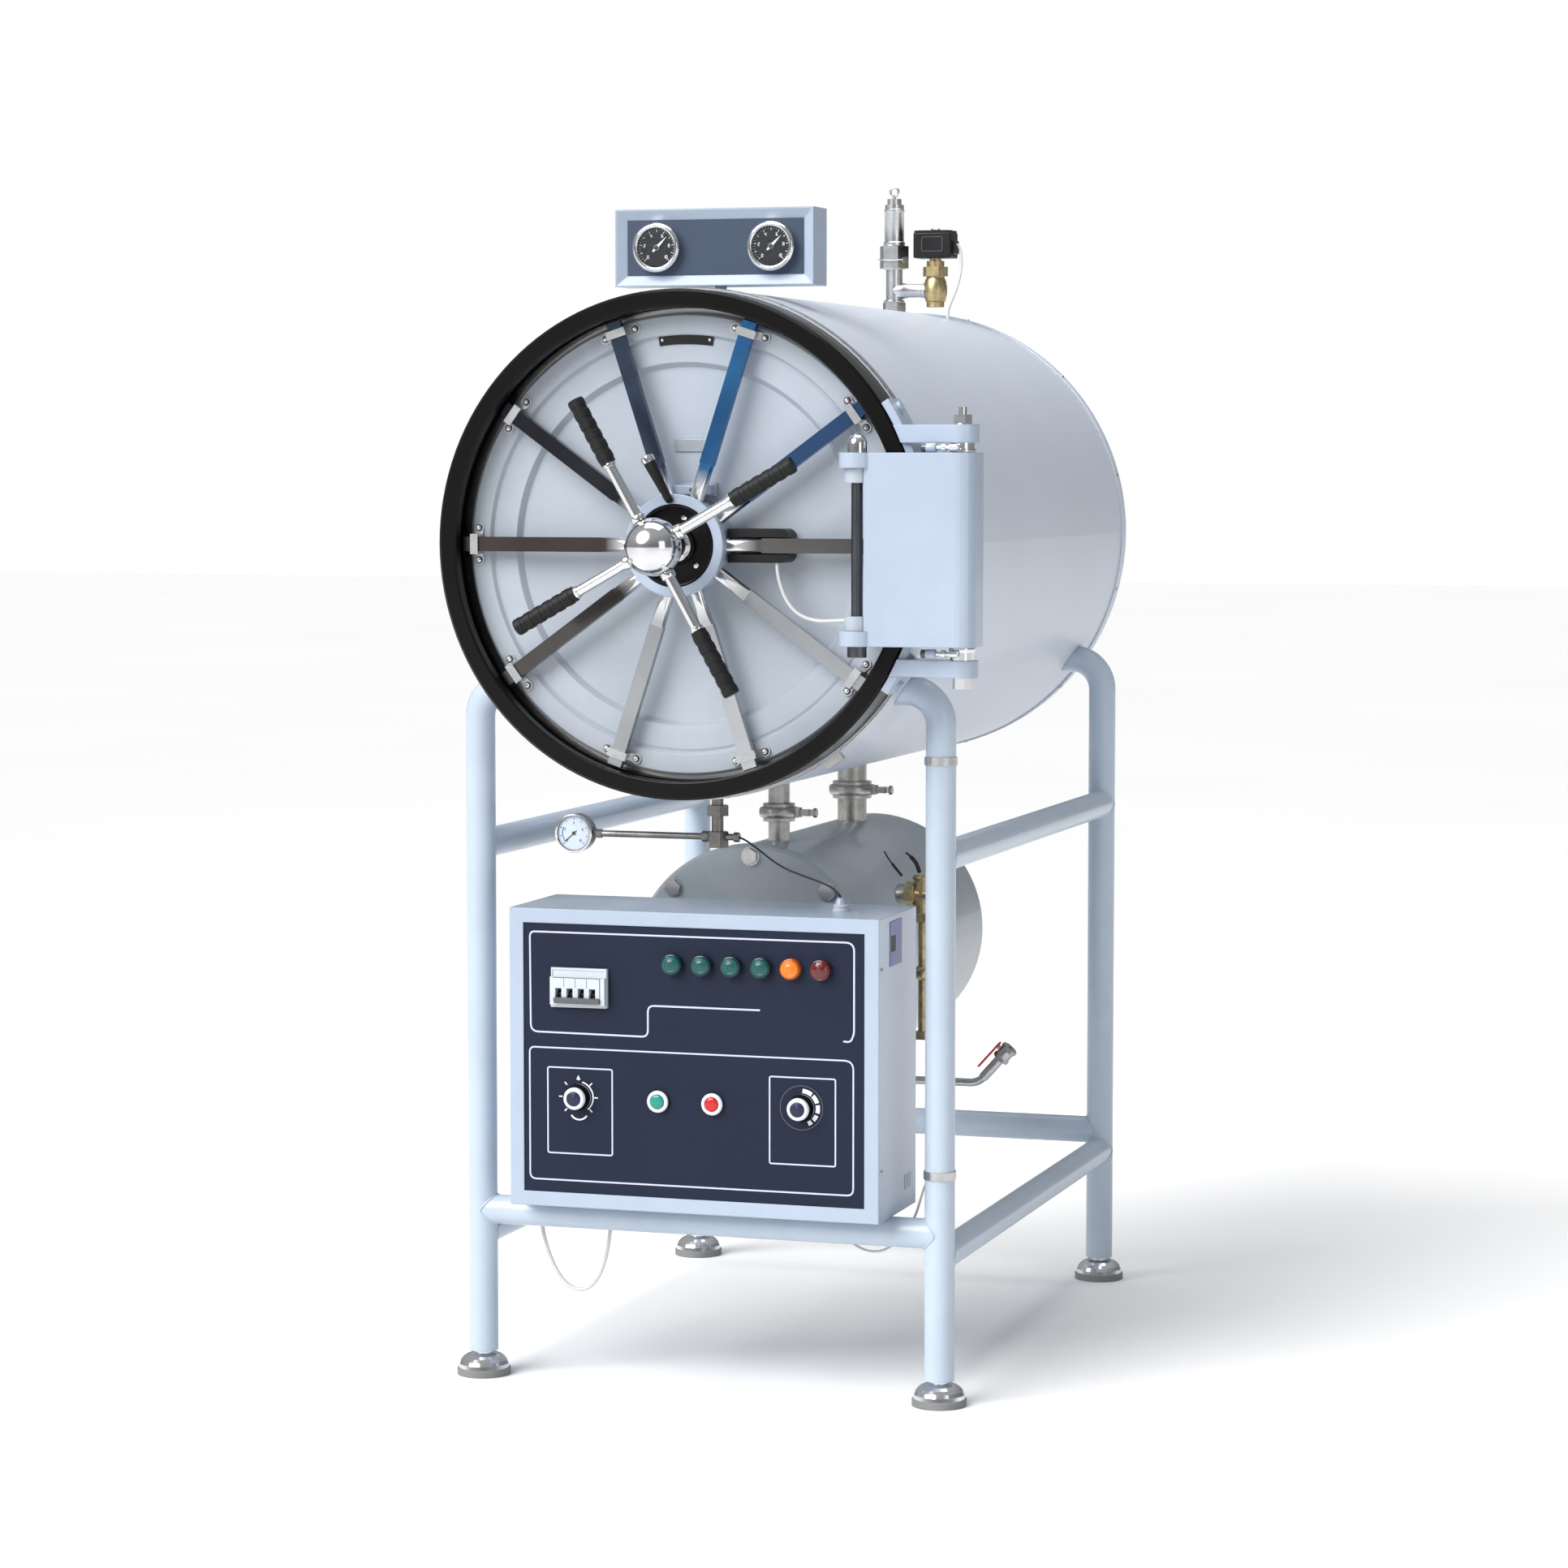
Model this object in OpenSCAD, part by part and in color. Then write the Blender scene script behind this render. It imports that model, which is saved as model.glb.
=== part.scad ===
// Horizontal cylindrical pressure steam steriliser on a tube frame, in millimetres.
// X runs to the right, Y to the back and Z up; the origin is on the floor, midway between the legs.

/* [Frame] */
// Distance between the left and right leg centres
leg_span_x = 727.2; // [700:0.2:750]
// Distance between the front and rear leg centres
leg_span_y = 1026; // [960:1:1060]
// Outer diameter of the frame tube
tube_d = 45; // [40:0.5:48]
// Wall of the frame tube
tube_wall = 2.5; // [1.5:0.1:4]
// Height of the lower front and rear rails
cross_rail_z = 256.7; // [240:0.1:270]
// Height of the lower side rails
side_rail_z = 222.1; // [200:0.1:240]
// Height of the upper side rails
upper_rail_z = 818.2; // [780:0.1:860]
// Centreline radius of the bend at the top of each leg
bend_r = 52; // [48:1:54]
// Centreline height of the leg ends that carry the drum
leg_top_z = 1065; // [1050:1:1080]

/* [Feet] */
// Diameter of the rubber foot pad
pad_d = 82; // [70:1:90]
// Height of the rubber foot pad
pad_h = 11; // [8:0.5:14]
// Height of the polished bell above the pad
bell_h = 22; // [18:1:26]
// Height of the lower end of the legs above the floor
leg_foot_z = 37.4; // [36:0.1:44]
// Diameter of the levelling screw
foot_screw_d = 16; // [12:1:20]

/* [Drum] */
// Height of the drum axis
drum_z = 1278; // [1270:1:1290]
// Sheet thickness of the casing
casing_t = 2; // [1.5:0.1:2]
// How much longer the casing is than the distance from the front legs to the rear legs
casing_beyond_legs = 182; // [165:1:200]
// Distance from the front legs' centres to the front face of the locking ring
ring_front_out = 140; // [137:1:143]
// Depth of the locking ring that shows
ring_depth = 65; // [64:0.5:68]
// Thickness of the locking ring outside its groove
ring_wall = 12.5; // [11:0.5:16]
// Clearance of the bars in the ring's groove, on each side
groove_gap = 3; // [3:0.5:4]
// Clearance from the bars' ends to the ring's lip when unlocked
lip_gap = 2.5; // [2.5:0.1:4]
// Inner diameter of the pressure chamber
chamber_d = 600; // [560:1:640]
// Space between the dished rear head and the rear cover
head_space = 93; // [85:1:110]
// Wall of the chamber
chamber_wall = 5; // [4:0.5:5.5]
// Depth of the dished rear head
head_depth = 115; // [90:1:125]
// Steam space between the chamber's wall and the jacket
jacket_space = 25; // [20:1:30]
// Wall of the steam jacket
jacket_wall = 5; // [3:0.5:6]
// Length of the steam jacket
jacket_len = 900; // [860:1:915]

/* [Door] */
// Width by which the door laps the chamber's mouth
door_lap = 40; // [38:0.5:44]
// Thickness of the door's rim
door_rim_t = 14; // [12:0.5:15]
// Distance from the door to the vessel flange when it isn't pressed home
door_gap = 6; // [5.5:0.1:6.5]
// Width of the door's flat rim
door_rim_w = 35; // [31:1:36]
// Width of the door's shelf inside its rim
door_shelf_w = 37; // [28:1:50]
// Width of a locking bar
bar_w = 21.5; // [20:0.1:22]
// Thickness of a locking bar
bar_t = 12; // [10:0.1:13]
// Length of the bars' ends beyond the door's edge when unlocked
bar_tip_out = 4; // [2:0.1:5]
// Travel of the locking bars
bar_stroke = 14; // [12:0.1:14]
// Turn of the handwheel from unlocked to locked, in degrees
lock_turn = 45; // [42:1:48]

/* [Handwheel] */
// Diameter of the polished ball
ball_d = 84; // [74:1:88]
// Diameter of the handle rods
handle_d = 16; // [12:0.5:18]
// Radius that the handles reach
handle_reach = 241; // [220:1:245]
// Angle of the first handle above the horizontal
handle_angle = 29.5; // [10:0.5:40]
// Distance from the bars' plane forward to the handles' plane
handle_lead = 129; // [124:1:134]
// Length of a grip
grip_len = 103; // [90:1:110]
// Diameter of a grip
grip_d = 25; // [22:0.5:28]
// Diameter of the spindle
spindle_d = 40; // [30:1:44]
// Diameter of the white collar
collar_d = 151; // [148:1:156]
// Diameter of the black cup
cup_d = 121; // [110:1:126]

/* [Hinge] */
// Distance of the outer pin outside the locking ring
outer_pin_out = 60; // [56:0.5:64]
// Diameter of the outer pin
outer_pin_d = 20; // [16:1:22]
// Distance of the inner pin inside the door's edge
inner_pin_in = 51; // [49:1:54]
// Diameter of the inner pin
inner_pin_d = 16.5; // [14:0.5:18]
// Height of the swing arm
arm_h = 276.5; // [270:0.5:280]
// Thickness of the arm's lugs
lug_t = 22; // [18:0.5:24]
// Thickness of the upper hinge bracket
bracket_t = 26; // [20:0.5:28]

/* [Steam generator] */
// Diameter of the steam generator
gen_d = 380; // [370:1:386]
// Height of the generator's axis
gen_z = 613; // [600:1:620]
// Length of the generator's shell
gen_len = 655; // [600:1:680]
// Outer diameter of the front steam pipe
front_pipe_d = 33.7; // [26.9:0.1:38]
// Outer diameter of the rear steam pipe
rear_pipe_d = 48.3; // [42.4:0.1:60.3]

/* [Control cabinet] */
// Width of the cabinet
cab_w = 580; // [560:1:600]
// Depth of the cabinet
cab_d = 200; // [190:1:205]
// Height of the cabinet
cab_h = 451.8; // [440:0.1:470]
// Width of the white border round the panel
cab_border = 22; // [18:0.5:24]
// Sheet thickness of the cabinet
cab_t = 2; // [1.5:0.1:3]
// Diameter of an indicator lamp's bezel
lamp_d = 27; // [24:0.5:30]
// Spacing of the indicator lamps
lamp_pitch = 46.3; // [42:0.1:48]
// Diameter of a push button's bezel
button_d = 29.5; // [27:0.5:32]
// Diameter of a selector knob
knob_d = 30; // [26:0.5:34]

/* [Gauge box] */
// Width of the gauge box
gbox_w = 312; // [300:1:330]
// Height of the gauge box
gbox_h = 115; // [110:1:125]
// Depth of the gauge box
gbox_d = 66; // [60:1:70]
// Diameter of a gauge's bezel
dial_d = 73; // [66:0.5:76]

/* [Hidden] */
$fn = 72;

// Clearances
weld_gap = 0.1;
fit_gap = 0.3;
run_gap = 0.4;
shaft_gap = 0.08;
over = 1;

// Frame
tube_r = tube_d / 2;
leg_x = leg_span_x / 2;
leg_y = leg_span_y / 2;
bend_z = leg_top_z - bend_r;
plug_t = 8;

// Feet
pad_r = pad_d / 2;
pad_chamfer = 1.5;
bell_inset = 2;
bell_neck_r = 15;
foot_screw_r = foot_screw_d / 2;
foot_screw_up = 20;
foot_nut_r = 14;

// Drum, from the chamber out and from the front back
chamber_r = chamber_d / 2;
shell_r = chamber_r + chamber_wall;
door_r = chamber_r + door_lap;
bar_tip_r = door_r + bar_tip_out;
ring_lip_r = bar_tip_r + lip_gap;
groove_r = bar_tip_r + bar_stroke + groove_gap;
groove_w = bar_t + 2 * groove_gap;
ring_r = groove_r + ring_wall;
casing_over = 2.5;
casing_r = ring_r + casing_over;
ring_front_y = -leg_y - ring_front_out;
casing_y = ring_front_y + ring_depth;
flange_y = casing_y;
flange_t = 20;
flange_in = 9;
flange_r = casing_r - casing_t - flange_in;
bar_set_back = 29;
bar_y = ring_front_y + bar_set_back;
lip_round = 4;
casing_len = leg_span_y + casing_beyond_legs;
casing_end_y = casing_y + casing_len;
cover_t = 3;
rim_w = 24;
rim_t = 2;
chamber_len = casing_end_y - head_space - head_depth - flange_y;
head_y = flange_y + chamber_len;
jacket_r = shell_r + jacket_space + jacket_wall;
jacket_set_back = 52;
jacket_y = flange_y + jacket_set_back;
closing_t = 8;
gasket_out = 6;
gasket_in_r = chamber_r + gasket_out;
gasket_w = 12;
gasket_sink = 8;
gasket_proud = 3;
strap_w = 14;
strap_t = 2;
strap_lug = 14;
strap_lug_deg = 55;
leg_clamp_zs = [961, 346];
leg_clamp_w = 12;

// Door
door_back_y = flange_y - door_gap;
door_rim_y = door_back_y - door_rim_t;
rim_in_r = door_r - door_rim_w;
rim_slope = 4;
rim_step = 4;
groove_step = 2;
recess_r = rim_in_r - door_shelf_w;
recess_slope = 7;
recess_step = 9;
dish_step = 3;
dish_share = 0.66;
plug_in = 14;
plug_r = chamber_r - plug_in;
plug_step = 12;
plug_slope = 6;

// Hub
scroll_r = 65;
collar_r = collar_d / 2;
collar_lead = 39;
collar_rim_t = 6;
collar_wall = 4.5;
collar_step_t = 3;
collar_y = bar_y - collar_lead;
collar_seat_y = door_rim_y + rim_step + recess_step + dish_step;
collar_step_y = bar_y - bar_w / 2 - run_gap - collar_step_t;
collar_out_r = scroll_r + over + collar_wall;
cup_r = cup_d / 2;
cup_sink = 2;
cup_wall = 4;
cup_floor = 6;
cup_y = collar_y + cup_sink;
cup_back_y = collar_step_y - collar_step_t - run_gap;
cup_boss_r = 28;
cup_boss_h = 7;
spindle_r = spindle_d / 2;
peg_angle = 118.5;
peg_len = 70;
peg_root_r = 5;
peg_tip_r = 8;
peg_x = -5;
peg_up = 66.5;
peg_y = collar_y - peg_root_r - 2 * over;

// Locking bars and the scroll plate that drives them
bar_count = 10;
bar_pitch = 360 / bar_count;
rod_r = bar_w / 2;
rod_in_r = 38;
rod_out_r = 125;
ramp_len = 40;
pin_r = 3.5;
pin_at_r = 44;
tip_bevel = 1.5;
scroll_t = 8;
scroll_y = bar_y + rod_r + run_gap;
slot_r = pin_r + run_gap;
slot_steps = 8;
cap_steps = 5;

// Bar guides
guide_in = 15;
guide_r = door_r - guide_in;
guide_len = 12;
guide_t = 3;
guide_wall = 4;
guide_ear_r = 7.5;
guide_ear_out = 9;

// Handwheel
ball_r = ball_d / 2;
wheel_y = bar_y - handle_lead;
handle_r = handle_d / 2;
handle_count = 4;
handle_pitch = 360 / handle_count;
grip_r = grip_d / 2;
grip_ribs = 6;
rib_depth = 1;
rib_share = 0.35;

// Hinge
outer_pin_x = ring_r + outer_pin_out;
outer_pin_lead = 2;
outer_pin_y = ring_front_y - outer_pin_lead;
inner_pin_x = door_r - inner_pin_in;
inner_pin_lead = 42;
inner_pin_y = outer_pin_y - inner_pin_lead;
outer_pin_r = outer_pin_d / 2;
inner_pin_r = inner_pin_d / 2;
arm_drop = 3;
arm_z0 = drum_z - arm_drop - arm_h / 2;
arm_z1 = arm_z0 + arm_h;
arm_left_in = 14.5;
arm_left_x = inner_pin_x + arm_left_in;
arm_front = 58;
arm_wall = 6;
arm_corner = 25;
arm_back = 6;
knuckle_r = 30;
lug_r = 26;
door_lug_r = 18;
door_lug_in = 13.5;
door_lug_h = 21;
upper_gap = 14;
lower_gap = 20;
lower_bracket_t = 25;
bracket_z0 = arm_z0 - lower_gap - lower_bracket_t;
bracket_z1 = arm_z1 + upper_gap + bracket_t;
bracket_r = 24;
bracket_reach = 120;
pad_in_deg = 20.5;
pad_out_deg = 33.5;
pad_thick = 12;
pad_len = 60;
pad_bolt_r = 8;
pad_bolt_h = 6;
pad_bolt_in_deg = 2.2;
pin_hex = 24;
pin_head_h = 14;
pin_stud_r = 6;
pin_stud_h = 11;
pin_nut_h = 16;
spacer_r = 17;
cap_h = 26;
boss_h = 16;
boss_r = 14;

// Interlock on the door
switch_x0 = 72;
switch_x1 = 166;
switch_gap = 2;
switch_h = 12;
switch_front = 14;

// Steam generator
gen_r = gen_d / 2;
gen_wall = 4;
gen_behind = 224;
gen_y = gen_behind - leg_y;
gen_ring_t = 14;
gen_ring_in = 25;
gen_ring_in_r = gen_r - gen_ring_in;
gen_flange_over = 6;
gen_flange_r = gen_r + gen_flange_over;
gen_head = 50;
gen_bolt_in = 18;
gen_bolt_r = gen_flange_r - gen_bolt_in;
gen_bolt_count = 8;
gen_bolt_d = 20;
gen_bolt_h = 8;
gen_plate_t = 14;
gen_plate_round = 5;

// Steam pipes: distance along Y and height of each clamp
front_pipe_behind = 132;
front_pipe_y = gen_y + front_pipe_behind;
rear_pipe_behind = 534;
rear_pipe_y = gen_y + rear_pipe_behind;
front_clamp_down = 54;
rear_clamp_down = 48;
pipe_wall = 2.6;
clamp_h = 14;
clamp_over = 13;
ferrule_over = 8;
wing_len = 24;
wing_w = 10;
wing_h = 16;

// Drain
drain_behind = 276;
drain_y = gen_y + drain_behind;
drain_r = 6.5;
drain_drop = 14;
drain_z = gen_z - gen_r - drain_drop;
drain_in_x = 60;
drain_in_r = 20;
drain_turn_x = 275;
drain_turn_r = 30;
drain_rise = 40;
drain_sleeve_r = 8;
drain_body_r = 12;
drain_body_len = 26;
drain_hex = 24;
drain_deg = 48;
lever_w = 11;
lever_t = 3;
lever_len = 42;
stem_r = 4;
stem_h = 16;

// Safety valve, exhaust valve and water valve
column_ahead = 128;
column_y = casing_end_y - column_ahead;
column_z = drum_z + casing_r;
column_r = 14;
column_base_r = 21;
column_base_h = 16;
tee_h = 74;
union_h = 38;
union_hex = 44;
bonnet_r = 16;
bonnet_h = 70;
bonnet_cap_h = 10;
bonnet_cap_r = 12;
bonnet_z = column_z + tee_h + union_h + bonnet_h + bonnet_cap_h;
branch_up = 36;
branch_r = 9;
exhaust_x = 73;
exhaust_r = 15;
exhaust_up = 8;
exhaust_h = 78;
exhaust_hex = 38;
exhaust_nut_up = 52;
exhaust_nut_h = 16;
coil_w = 65;
coil_d = 46;
coil_h = 46;
coil_round = 5;
coil_up = exhaust_up + exhaust_h + coil_round;
ring_major_r = 7;
ring_minor_r = 2;
ring_stem_r = 3;
ring_lift = 3;
water_out = 72;
water_x = gen_r + water_out;
water_behind = 39;
water_y = gen_y + water_behind;
water_pipe_r = 6.5;
water_down = 103;
water_low_z = gen_z - water_down;
water_up = 122;
water_body_z = gen_z + water_up;
water_body_r = 13;
water_body_h = 60;
water_hex = 34;
water_nut_len = 12;
water_reach = 26;

// Jacket gauge below the drum
cluster_behind = 125;
cluster_y = casing_y + cluster_behind;
cluster_r = 9;
cluster_down = 67;
cluster_z = drum_z - casing_r - cluster_down;
cluster_hex = 30;
cluster_hex_h = 16;
gauge_tube_r = 5;
gauge_x = -228;
gauge_r = 29;
gauge_t = 24;
gauge_rim = 3;
gauge_step = 3;

// Gauge box
gbox_x = gbox_w / 2;
gbox_behind = 110;
gbox_front_y = casing_y + gbox_behind;
gbox_up = 8;
gbox_z = drum_z + casing_r + gbox_up;
gbox_t = 2;
gbox_border = 17;
gbox_bevel = 8;
panel_t = 3;
post_r = 9;
post_behind = 33;
post_y = gbox_front_y + post_behind;
dial_x = 90;
dial_r = dial_d / 2;
dial_proud = 14;
dial_rim = 5.5;
dial_step = 6;
dial_case_r = 30;
dial_case_len = 40;
dial_boss_r = 3;
pointer_len = 23;
pointer_tail = 8;
pointer_w = 2.4;
pointer_t = 0.8;
pointer_hub_r = 4;
pointer_rest = 45;

// Control cabinet
cab_ahead = 72;
cab_front_y = -leg_y - cab_ahead;
cab_z = cross_rail_z + tube_r;
panel_margin = 8;
cab_y1 = cab_front_y + cab_d;
panel_y = cab_front_y + cab_t;
vent_count = 4;
vent_w = 3;
vent_h = 22;
vent_pitch = 10;
vent_in = 30;
gland_x = 201;
gland_behind = 99;
gland_y = cab_front_y + gland_behind;
gland_r = 9;
gland_h = 20;
gland_top_r = 5;

// Controls, measured from the cabinet's middle and from its floor
lamp_x0 = -29.5;
lamp_up = 374.8;
lamp_count = 6;
lamp_bezel = 4;
lamp_lens_r = 11;
lamp_lens = 9;
lamp_body_r = 10.5;
lamp_body = 30;
breaker_x0 = -222;
breaker_x1 = -133;
breaker_up = 304.6;
breaker_h = 59;
breaker_proud = 6;
breaker_nose = 8;
breaker_nose_up = 4;
breaker_nose_h = 42;
breaker_well = 16;
breaker_body = 40;
toggle_count = 4;
toggle_w = 9;
toggle_first = 10;
toggle_pitch = 18;
toggle_axis_r = 6;
toggle_len = 11;
toggle_bar = 4;
toggle_tilt = 22;
toggle_reach = toggle_axis_r + breaker_nose + toggle_len / 2 + over;
tie_t = 3.5;
tie_w = 6;
toggle_z = breaker_nose_up + breaker_nose_h / 3;
knob_lx = -181;
knob_rx = 170.4;
knob_up = 168;
knob_base_t = 3;
knob_base_r = 20;
knob_len = 18;
knob_grip_share = 0.8;
knob_shaft_r = 3;
knob_shaft = 14;
button_gx = -53;
button_rx = 32.6;
button_up = 167.6;
button_bezel = 5;
button_cap_r = 10.5;
button_sleeve_r = 12.5;
button_cap = 3;
button_stem_r = 6;
button_travel = 3;
button_stem = 16;

// Cable routes, chosen by hand
cable_r = 2.75;
interlock_path = [[146, -624, 1253], [147, -625, 1240], [152, -626, 1220], [161, -627, 1200],
    [174, -628, 1184], [191, -629, 1174], [210, -631, 1170], [230, -634, 1170], [248, -636, 1171],
    [262, -637, 1171.5], [269.8, -637, 1171.5]];
capillary_r = 1.5;
capillary_path = [[30.3, -463, 835], [37, -463, 834], [48, -464, 829], [62, -465, 820], [78, -467, 809],
    [95, -469, 798], [112, -472, 790], [130, -475, 784], [150, -478, 778], [170, -481, 772],
    [185, -484, 766], [195, -486, 759], [200, -486, 754], [201, -486, 751.4]];
mains_r = 3;
mains_path = [[-282, -470, 279], [-283, -470, 262], [-284, -470, 240], [-281, -470, 215],
    [-274, -470, 190], [-264, -470, 166], [-251, -470, 146], [-236, -470, 134], [-219, -470, 131],
    [-203, -470, 138], [-191, -470, 153], [-182, -470, 174], [-176, -470, 198], [-172, -470, 225],
    [-170, -470, 252], [-170, -470, 279]];
earth_r = 2;
earth_path = [[200, -470, 279], [201, -470, 262], [205, -470, 244], [213, -470, 231], [225, -470, 222],
    [240, -470, 217], [256, -470, 217], [270, -470, 222], [283, -470, 232], [296, -471, 246],
    [308, -473, 262], [317, -476, 280], [324, -479, 300], [330, -481, 318], [337, -482, 333],
    [346, -482, 343], [356.1, -482, 346]];
coil_cable_r = 2.5;
coil_path = [[106, 492, 1768], [111, 492, 1767], [116, 491, 1761], [119, 489, 1750], [120, 487, 1736],
    [119, 485, 1720], [116, 483, 1704], [112, 482, 1690], [107, 482, 1678], [102, 483, 1667],
    [98, 484, 1656], [97, 485, 1641.6]];

// Helpers
module box(x0, x1, y0, y1, z0, z1) translate([x0, y0, z0]) cube([x1 - x0, y1 - y0, z1 - z0]);
module rod_x(r, x0, x1) translate([x0, 0, 0]) rotate([0, 90, 0]) cylinder(r = r, h = x1 - x0);
module rod_y(r, y0, y1) translate([0, y0, 0]) rotate([-90, 0, 0]) cylinder(r = r, h = y1 - y0);
module rod_z(r, z0, z1) translate([0, 0, z0]) cylinder(r = r, h = z1 - z0);
module hex_z(flats, z0, z1) translate([0, 0, z0]) cylinder(r = flats / sqrt(3), h = z1 - z0, $fn = 6);
module turn_y(points) rotate([-90, 0, 0]) rotate_extrude() polygon(points);
module on_drum() translate([0, 0, drum_z]) children();
module spoke(angle, y) translate([0, y, drum_z]) rotate([0, -angle, 0]) children();
module four_legs() for (sx = [-1, 1], sy = [-1, 1]) translate([sx * leg_x, sy * leg_y, 0]) children();
function arc(cx, cy, r, a0, a1, n) =
    [for (i = [0 : n]) [cx + r * cos(a0 + (a1 - a0) * i / n), cy + r * sin(a0 + (a1 - a0) * i / n)]];
function ellipse(rx, y0, depth, n) =
    [for (i = [0 : n]) [rx * cos(90 * i / n), y0 + depth * sin(90 * i / n)]];
function flip(points) = [for (i = [len(points) - 1 : -1 : 0]) points[i]];

// A cable: rings of points swept along its route, closed at both ends
function unit(v) = v / norm(v);
function along(p, i) = unit(p[min(i + 1, len(p) - 1)] - p[max(i - 1, 0)]);
function side(t) = unit(cross(t, abs(t[1]) < 0.9 ? [0, 1, 0] : [1, 0, 0]));
function cable_ring(p, i, r, sides) = let (t = along(p, i), s = side(t), u = cross(t, s))
    [for (k = [0 : sides - 1]) p[i] + r * (cos(360 * k / sides) * s + sin(360 * k / sides) * u)];
function cable_points(p, r, sides) = [for (i = [0 : len(p) - 1]) each cable_ring(p, i, r, sides)];
function cable_faces(n, sides) = [
    [for (k = [0 : sides - 1]) k],
    for (i = [0 : n - 2], k = [0 : sides - 1]) each [
        [i * sides + k, (i + 1) * sides + k, i * sides + (k + 1) % sides],
        [i * sides + (k + 1) % sides, (i + 1) * sides + k, (i + 1) * sides + (k + 1) % sides]],
    [for (k = [sides - 1 : -1 : 0]) (n - 1) * sides + k]];
module cable(p, r, sides = 8)
    polyhedron(points = cable_points(p, r, sides), faces = cable_faces(len(p), sides));

// Frame
module leg_sweep(r) {
    rod_z(r, leg_foot_z, bend_z);
    translate([-bend_r, 0, bend_z]) rotate([90, 0, 0])
        rotate_extrude(angle = 90) translate([bend_r, 0]) circle(r = r);
    translate([0, 0, leg_top_z]) rod_x(r, -leg_x, -bend_r);
}
module leg() difference() {
    leg_sweep(tube_r);
    difference() {
        leg_sweep(tube_r - tube_wall);
        rod_z(tube_r, leg_foot_z - over, leg_foot_z + plug_t);
    }
    rod_z(foot_screw_r + fit_gap, leg_foot_z - over, leg_foot_z + plug_t + over);
}
module frame_legs() color("lightsteelblue") difference() {
    for (sy = [-1, 1]) translate([0, sy * leg_y, 0]) {
        translate([leg_x, 0, 0]) leg();
        mirror([1, 0, 0]) translate([leg_x, 0, 0]) leg();
    }
    on_drum() rod_y(casing_r + weld_gap, casing_y - over, casing_end_y + over);
}
module pipe_x(z) translate([0, 0, z]) difference() {
    rod_x(tube_r, -leg_x, leg_x);
    rod_x(tube_r - tube_wall, -leg_x - over, leg_x + over);
}
module pipe_y(z) translate([0, 0, z]) difference() {
    rod_y(tube_r, -leg_y, leg_y);
    rod_y(tube_r - tube_wall, -leg_y - over, leg_y + over);
}
module frame_rails() color("lightsteelblue") difference() {
    union() {
        for (sy = [-1, 1]) translate([0, sy * leg_y, 0]) pipe_x(cross_rail_z);
        for (sx = [-1, 1], z = [side_rail_z, upper_rail_z]) translate([sx * leg_x, 0, 0]) pipe_y(z);
    }
    four_legs() rod_z(tube_r + weld_gap, side_rail_z - tube_d, upper_rail_z + tube_d);
}
module foot_bells() color("silver") four_legs() {
    rotate_extrude() polygon(concat(
        [[0, pad_h], [pad_r - bell_inset, pad_h]],
        [for (i = [1 : 6]) [
            bell_neck_r + (pad_r - bell_inset - bell_neck_r) * cos(15 * i),
            pad_h + bell_h * sin(15 * i)]],
        [[0, pad_h + bell_h]]));
    rod_z(foot_screw_r, pad_h + bell_h - over, leg_foot_z + foot_screw_up);
    rod_z(foot_nut_r, pad_h + bell_h - over, leg_foot_z);
}
module foot_pads() color("dimgray") four_legs()
    rotate_extrude() polygon([[0, 0], [pad_r, 0], [pad_r, pad_h - pad_chamfer], [pad_r - pad_chamfer, pad_h],
        [0, pad_h]]);
module strap_bands() color("silver") {
    on_drum() difference() {
        union() {
            rod_y(casing_r + strap_t, casing_y + over, casing_y + over + strap_w);
            rotate([0, strap_lug_deg, 0]) translate([casing_r, casing_y + over, -strap_lug])
                cube([strap_lug, strap_w, 2 * strap_lug]);
        }
        rod_y(casing_r + weld_gap, casing_y, casing_y + 2 * over + strap_w);
    }
    for (z = leg_clamp_zs) translate([leg_x, -leg_y, z]) difference() {
        union() {
            rod_z(tube_r + strap_t, -leg_clamp_w / 2, leg_clamp_w / 2);
            box(-strap_lug / 2, strap_lug / 2, 0, tube_r + strap_lug, -leg_clamp_w / 2, leg_clamp_w / 2);
        }
        rod_z(tube_r + weld_gap, -leg_clamp_w, leg_clamp_w);
    }
}

// Drum
module pipe_bores(r_extra, z0, z1) {
    translate([0, front_pipe_y, 0]) rod_z(front_pipe_d / 2 + r_extra, z0, z1);
    translate([0, rear_pipe_y, 0]) rod_z(rear_pipe_d / 2 + r_extra, z0, z1);
}
module drum_casing() color("gainsboro") difference() {
    on_drum() rod_y(casing_r, casing_y, casing_end_y);
    on_drum() rod_y(casing_r - casing_t, casing_y - over, casing_end_y + over);
    pipe_bores(fit_gap, gen_z, drum_z - jacket_r);
    translate([0, cluster_y, 0]) rod_z(cluster_r + fit_gap, cluster_z, drum_z - jacket_r);
    translate([0, column_y, 0]) rod_z(column_r + fit_gap, drum_z + shell_r / 2, drum_z + 2 * casing_r);
}
module rear_cover() color("gainsboro") on_drum() turn_y([
    [0, casing_end_y], [casing_r + weld_gap, casing_end_y], [casing_r + weld_gap, casing_end_y - rim_w],
    [casing_r + rim_t, casing_end_y - rim_w], [casing_r + rim_t, casing_end_y + cover_t],
    [0, casing_end_y + cover_t]]);
module mouth_ring() color("black") on_drum() turn_y(concat(
    [[ring_r - lip_round, ring_front_y], [ring_r, ring_front_y + lip_round], [ring_r, flange_y],
    [ring_lip_r, flange_y], [ring_lip_r, bar_y + groove_w / 2], [groove_r, bar_y + groove_w / 2],
    [groove_r, bar_y - groove_w / 2], [ring_lip_r, bar_y - groove_w / 2]],
    arc(ring_lip_r + lip_round, ring_front_y + lip_round, lip_round, 180, 270, 5)));
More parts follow.
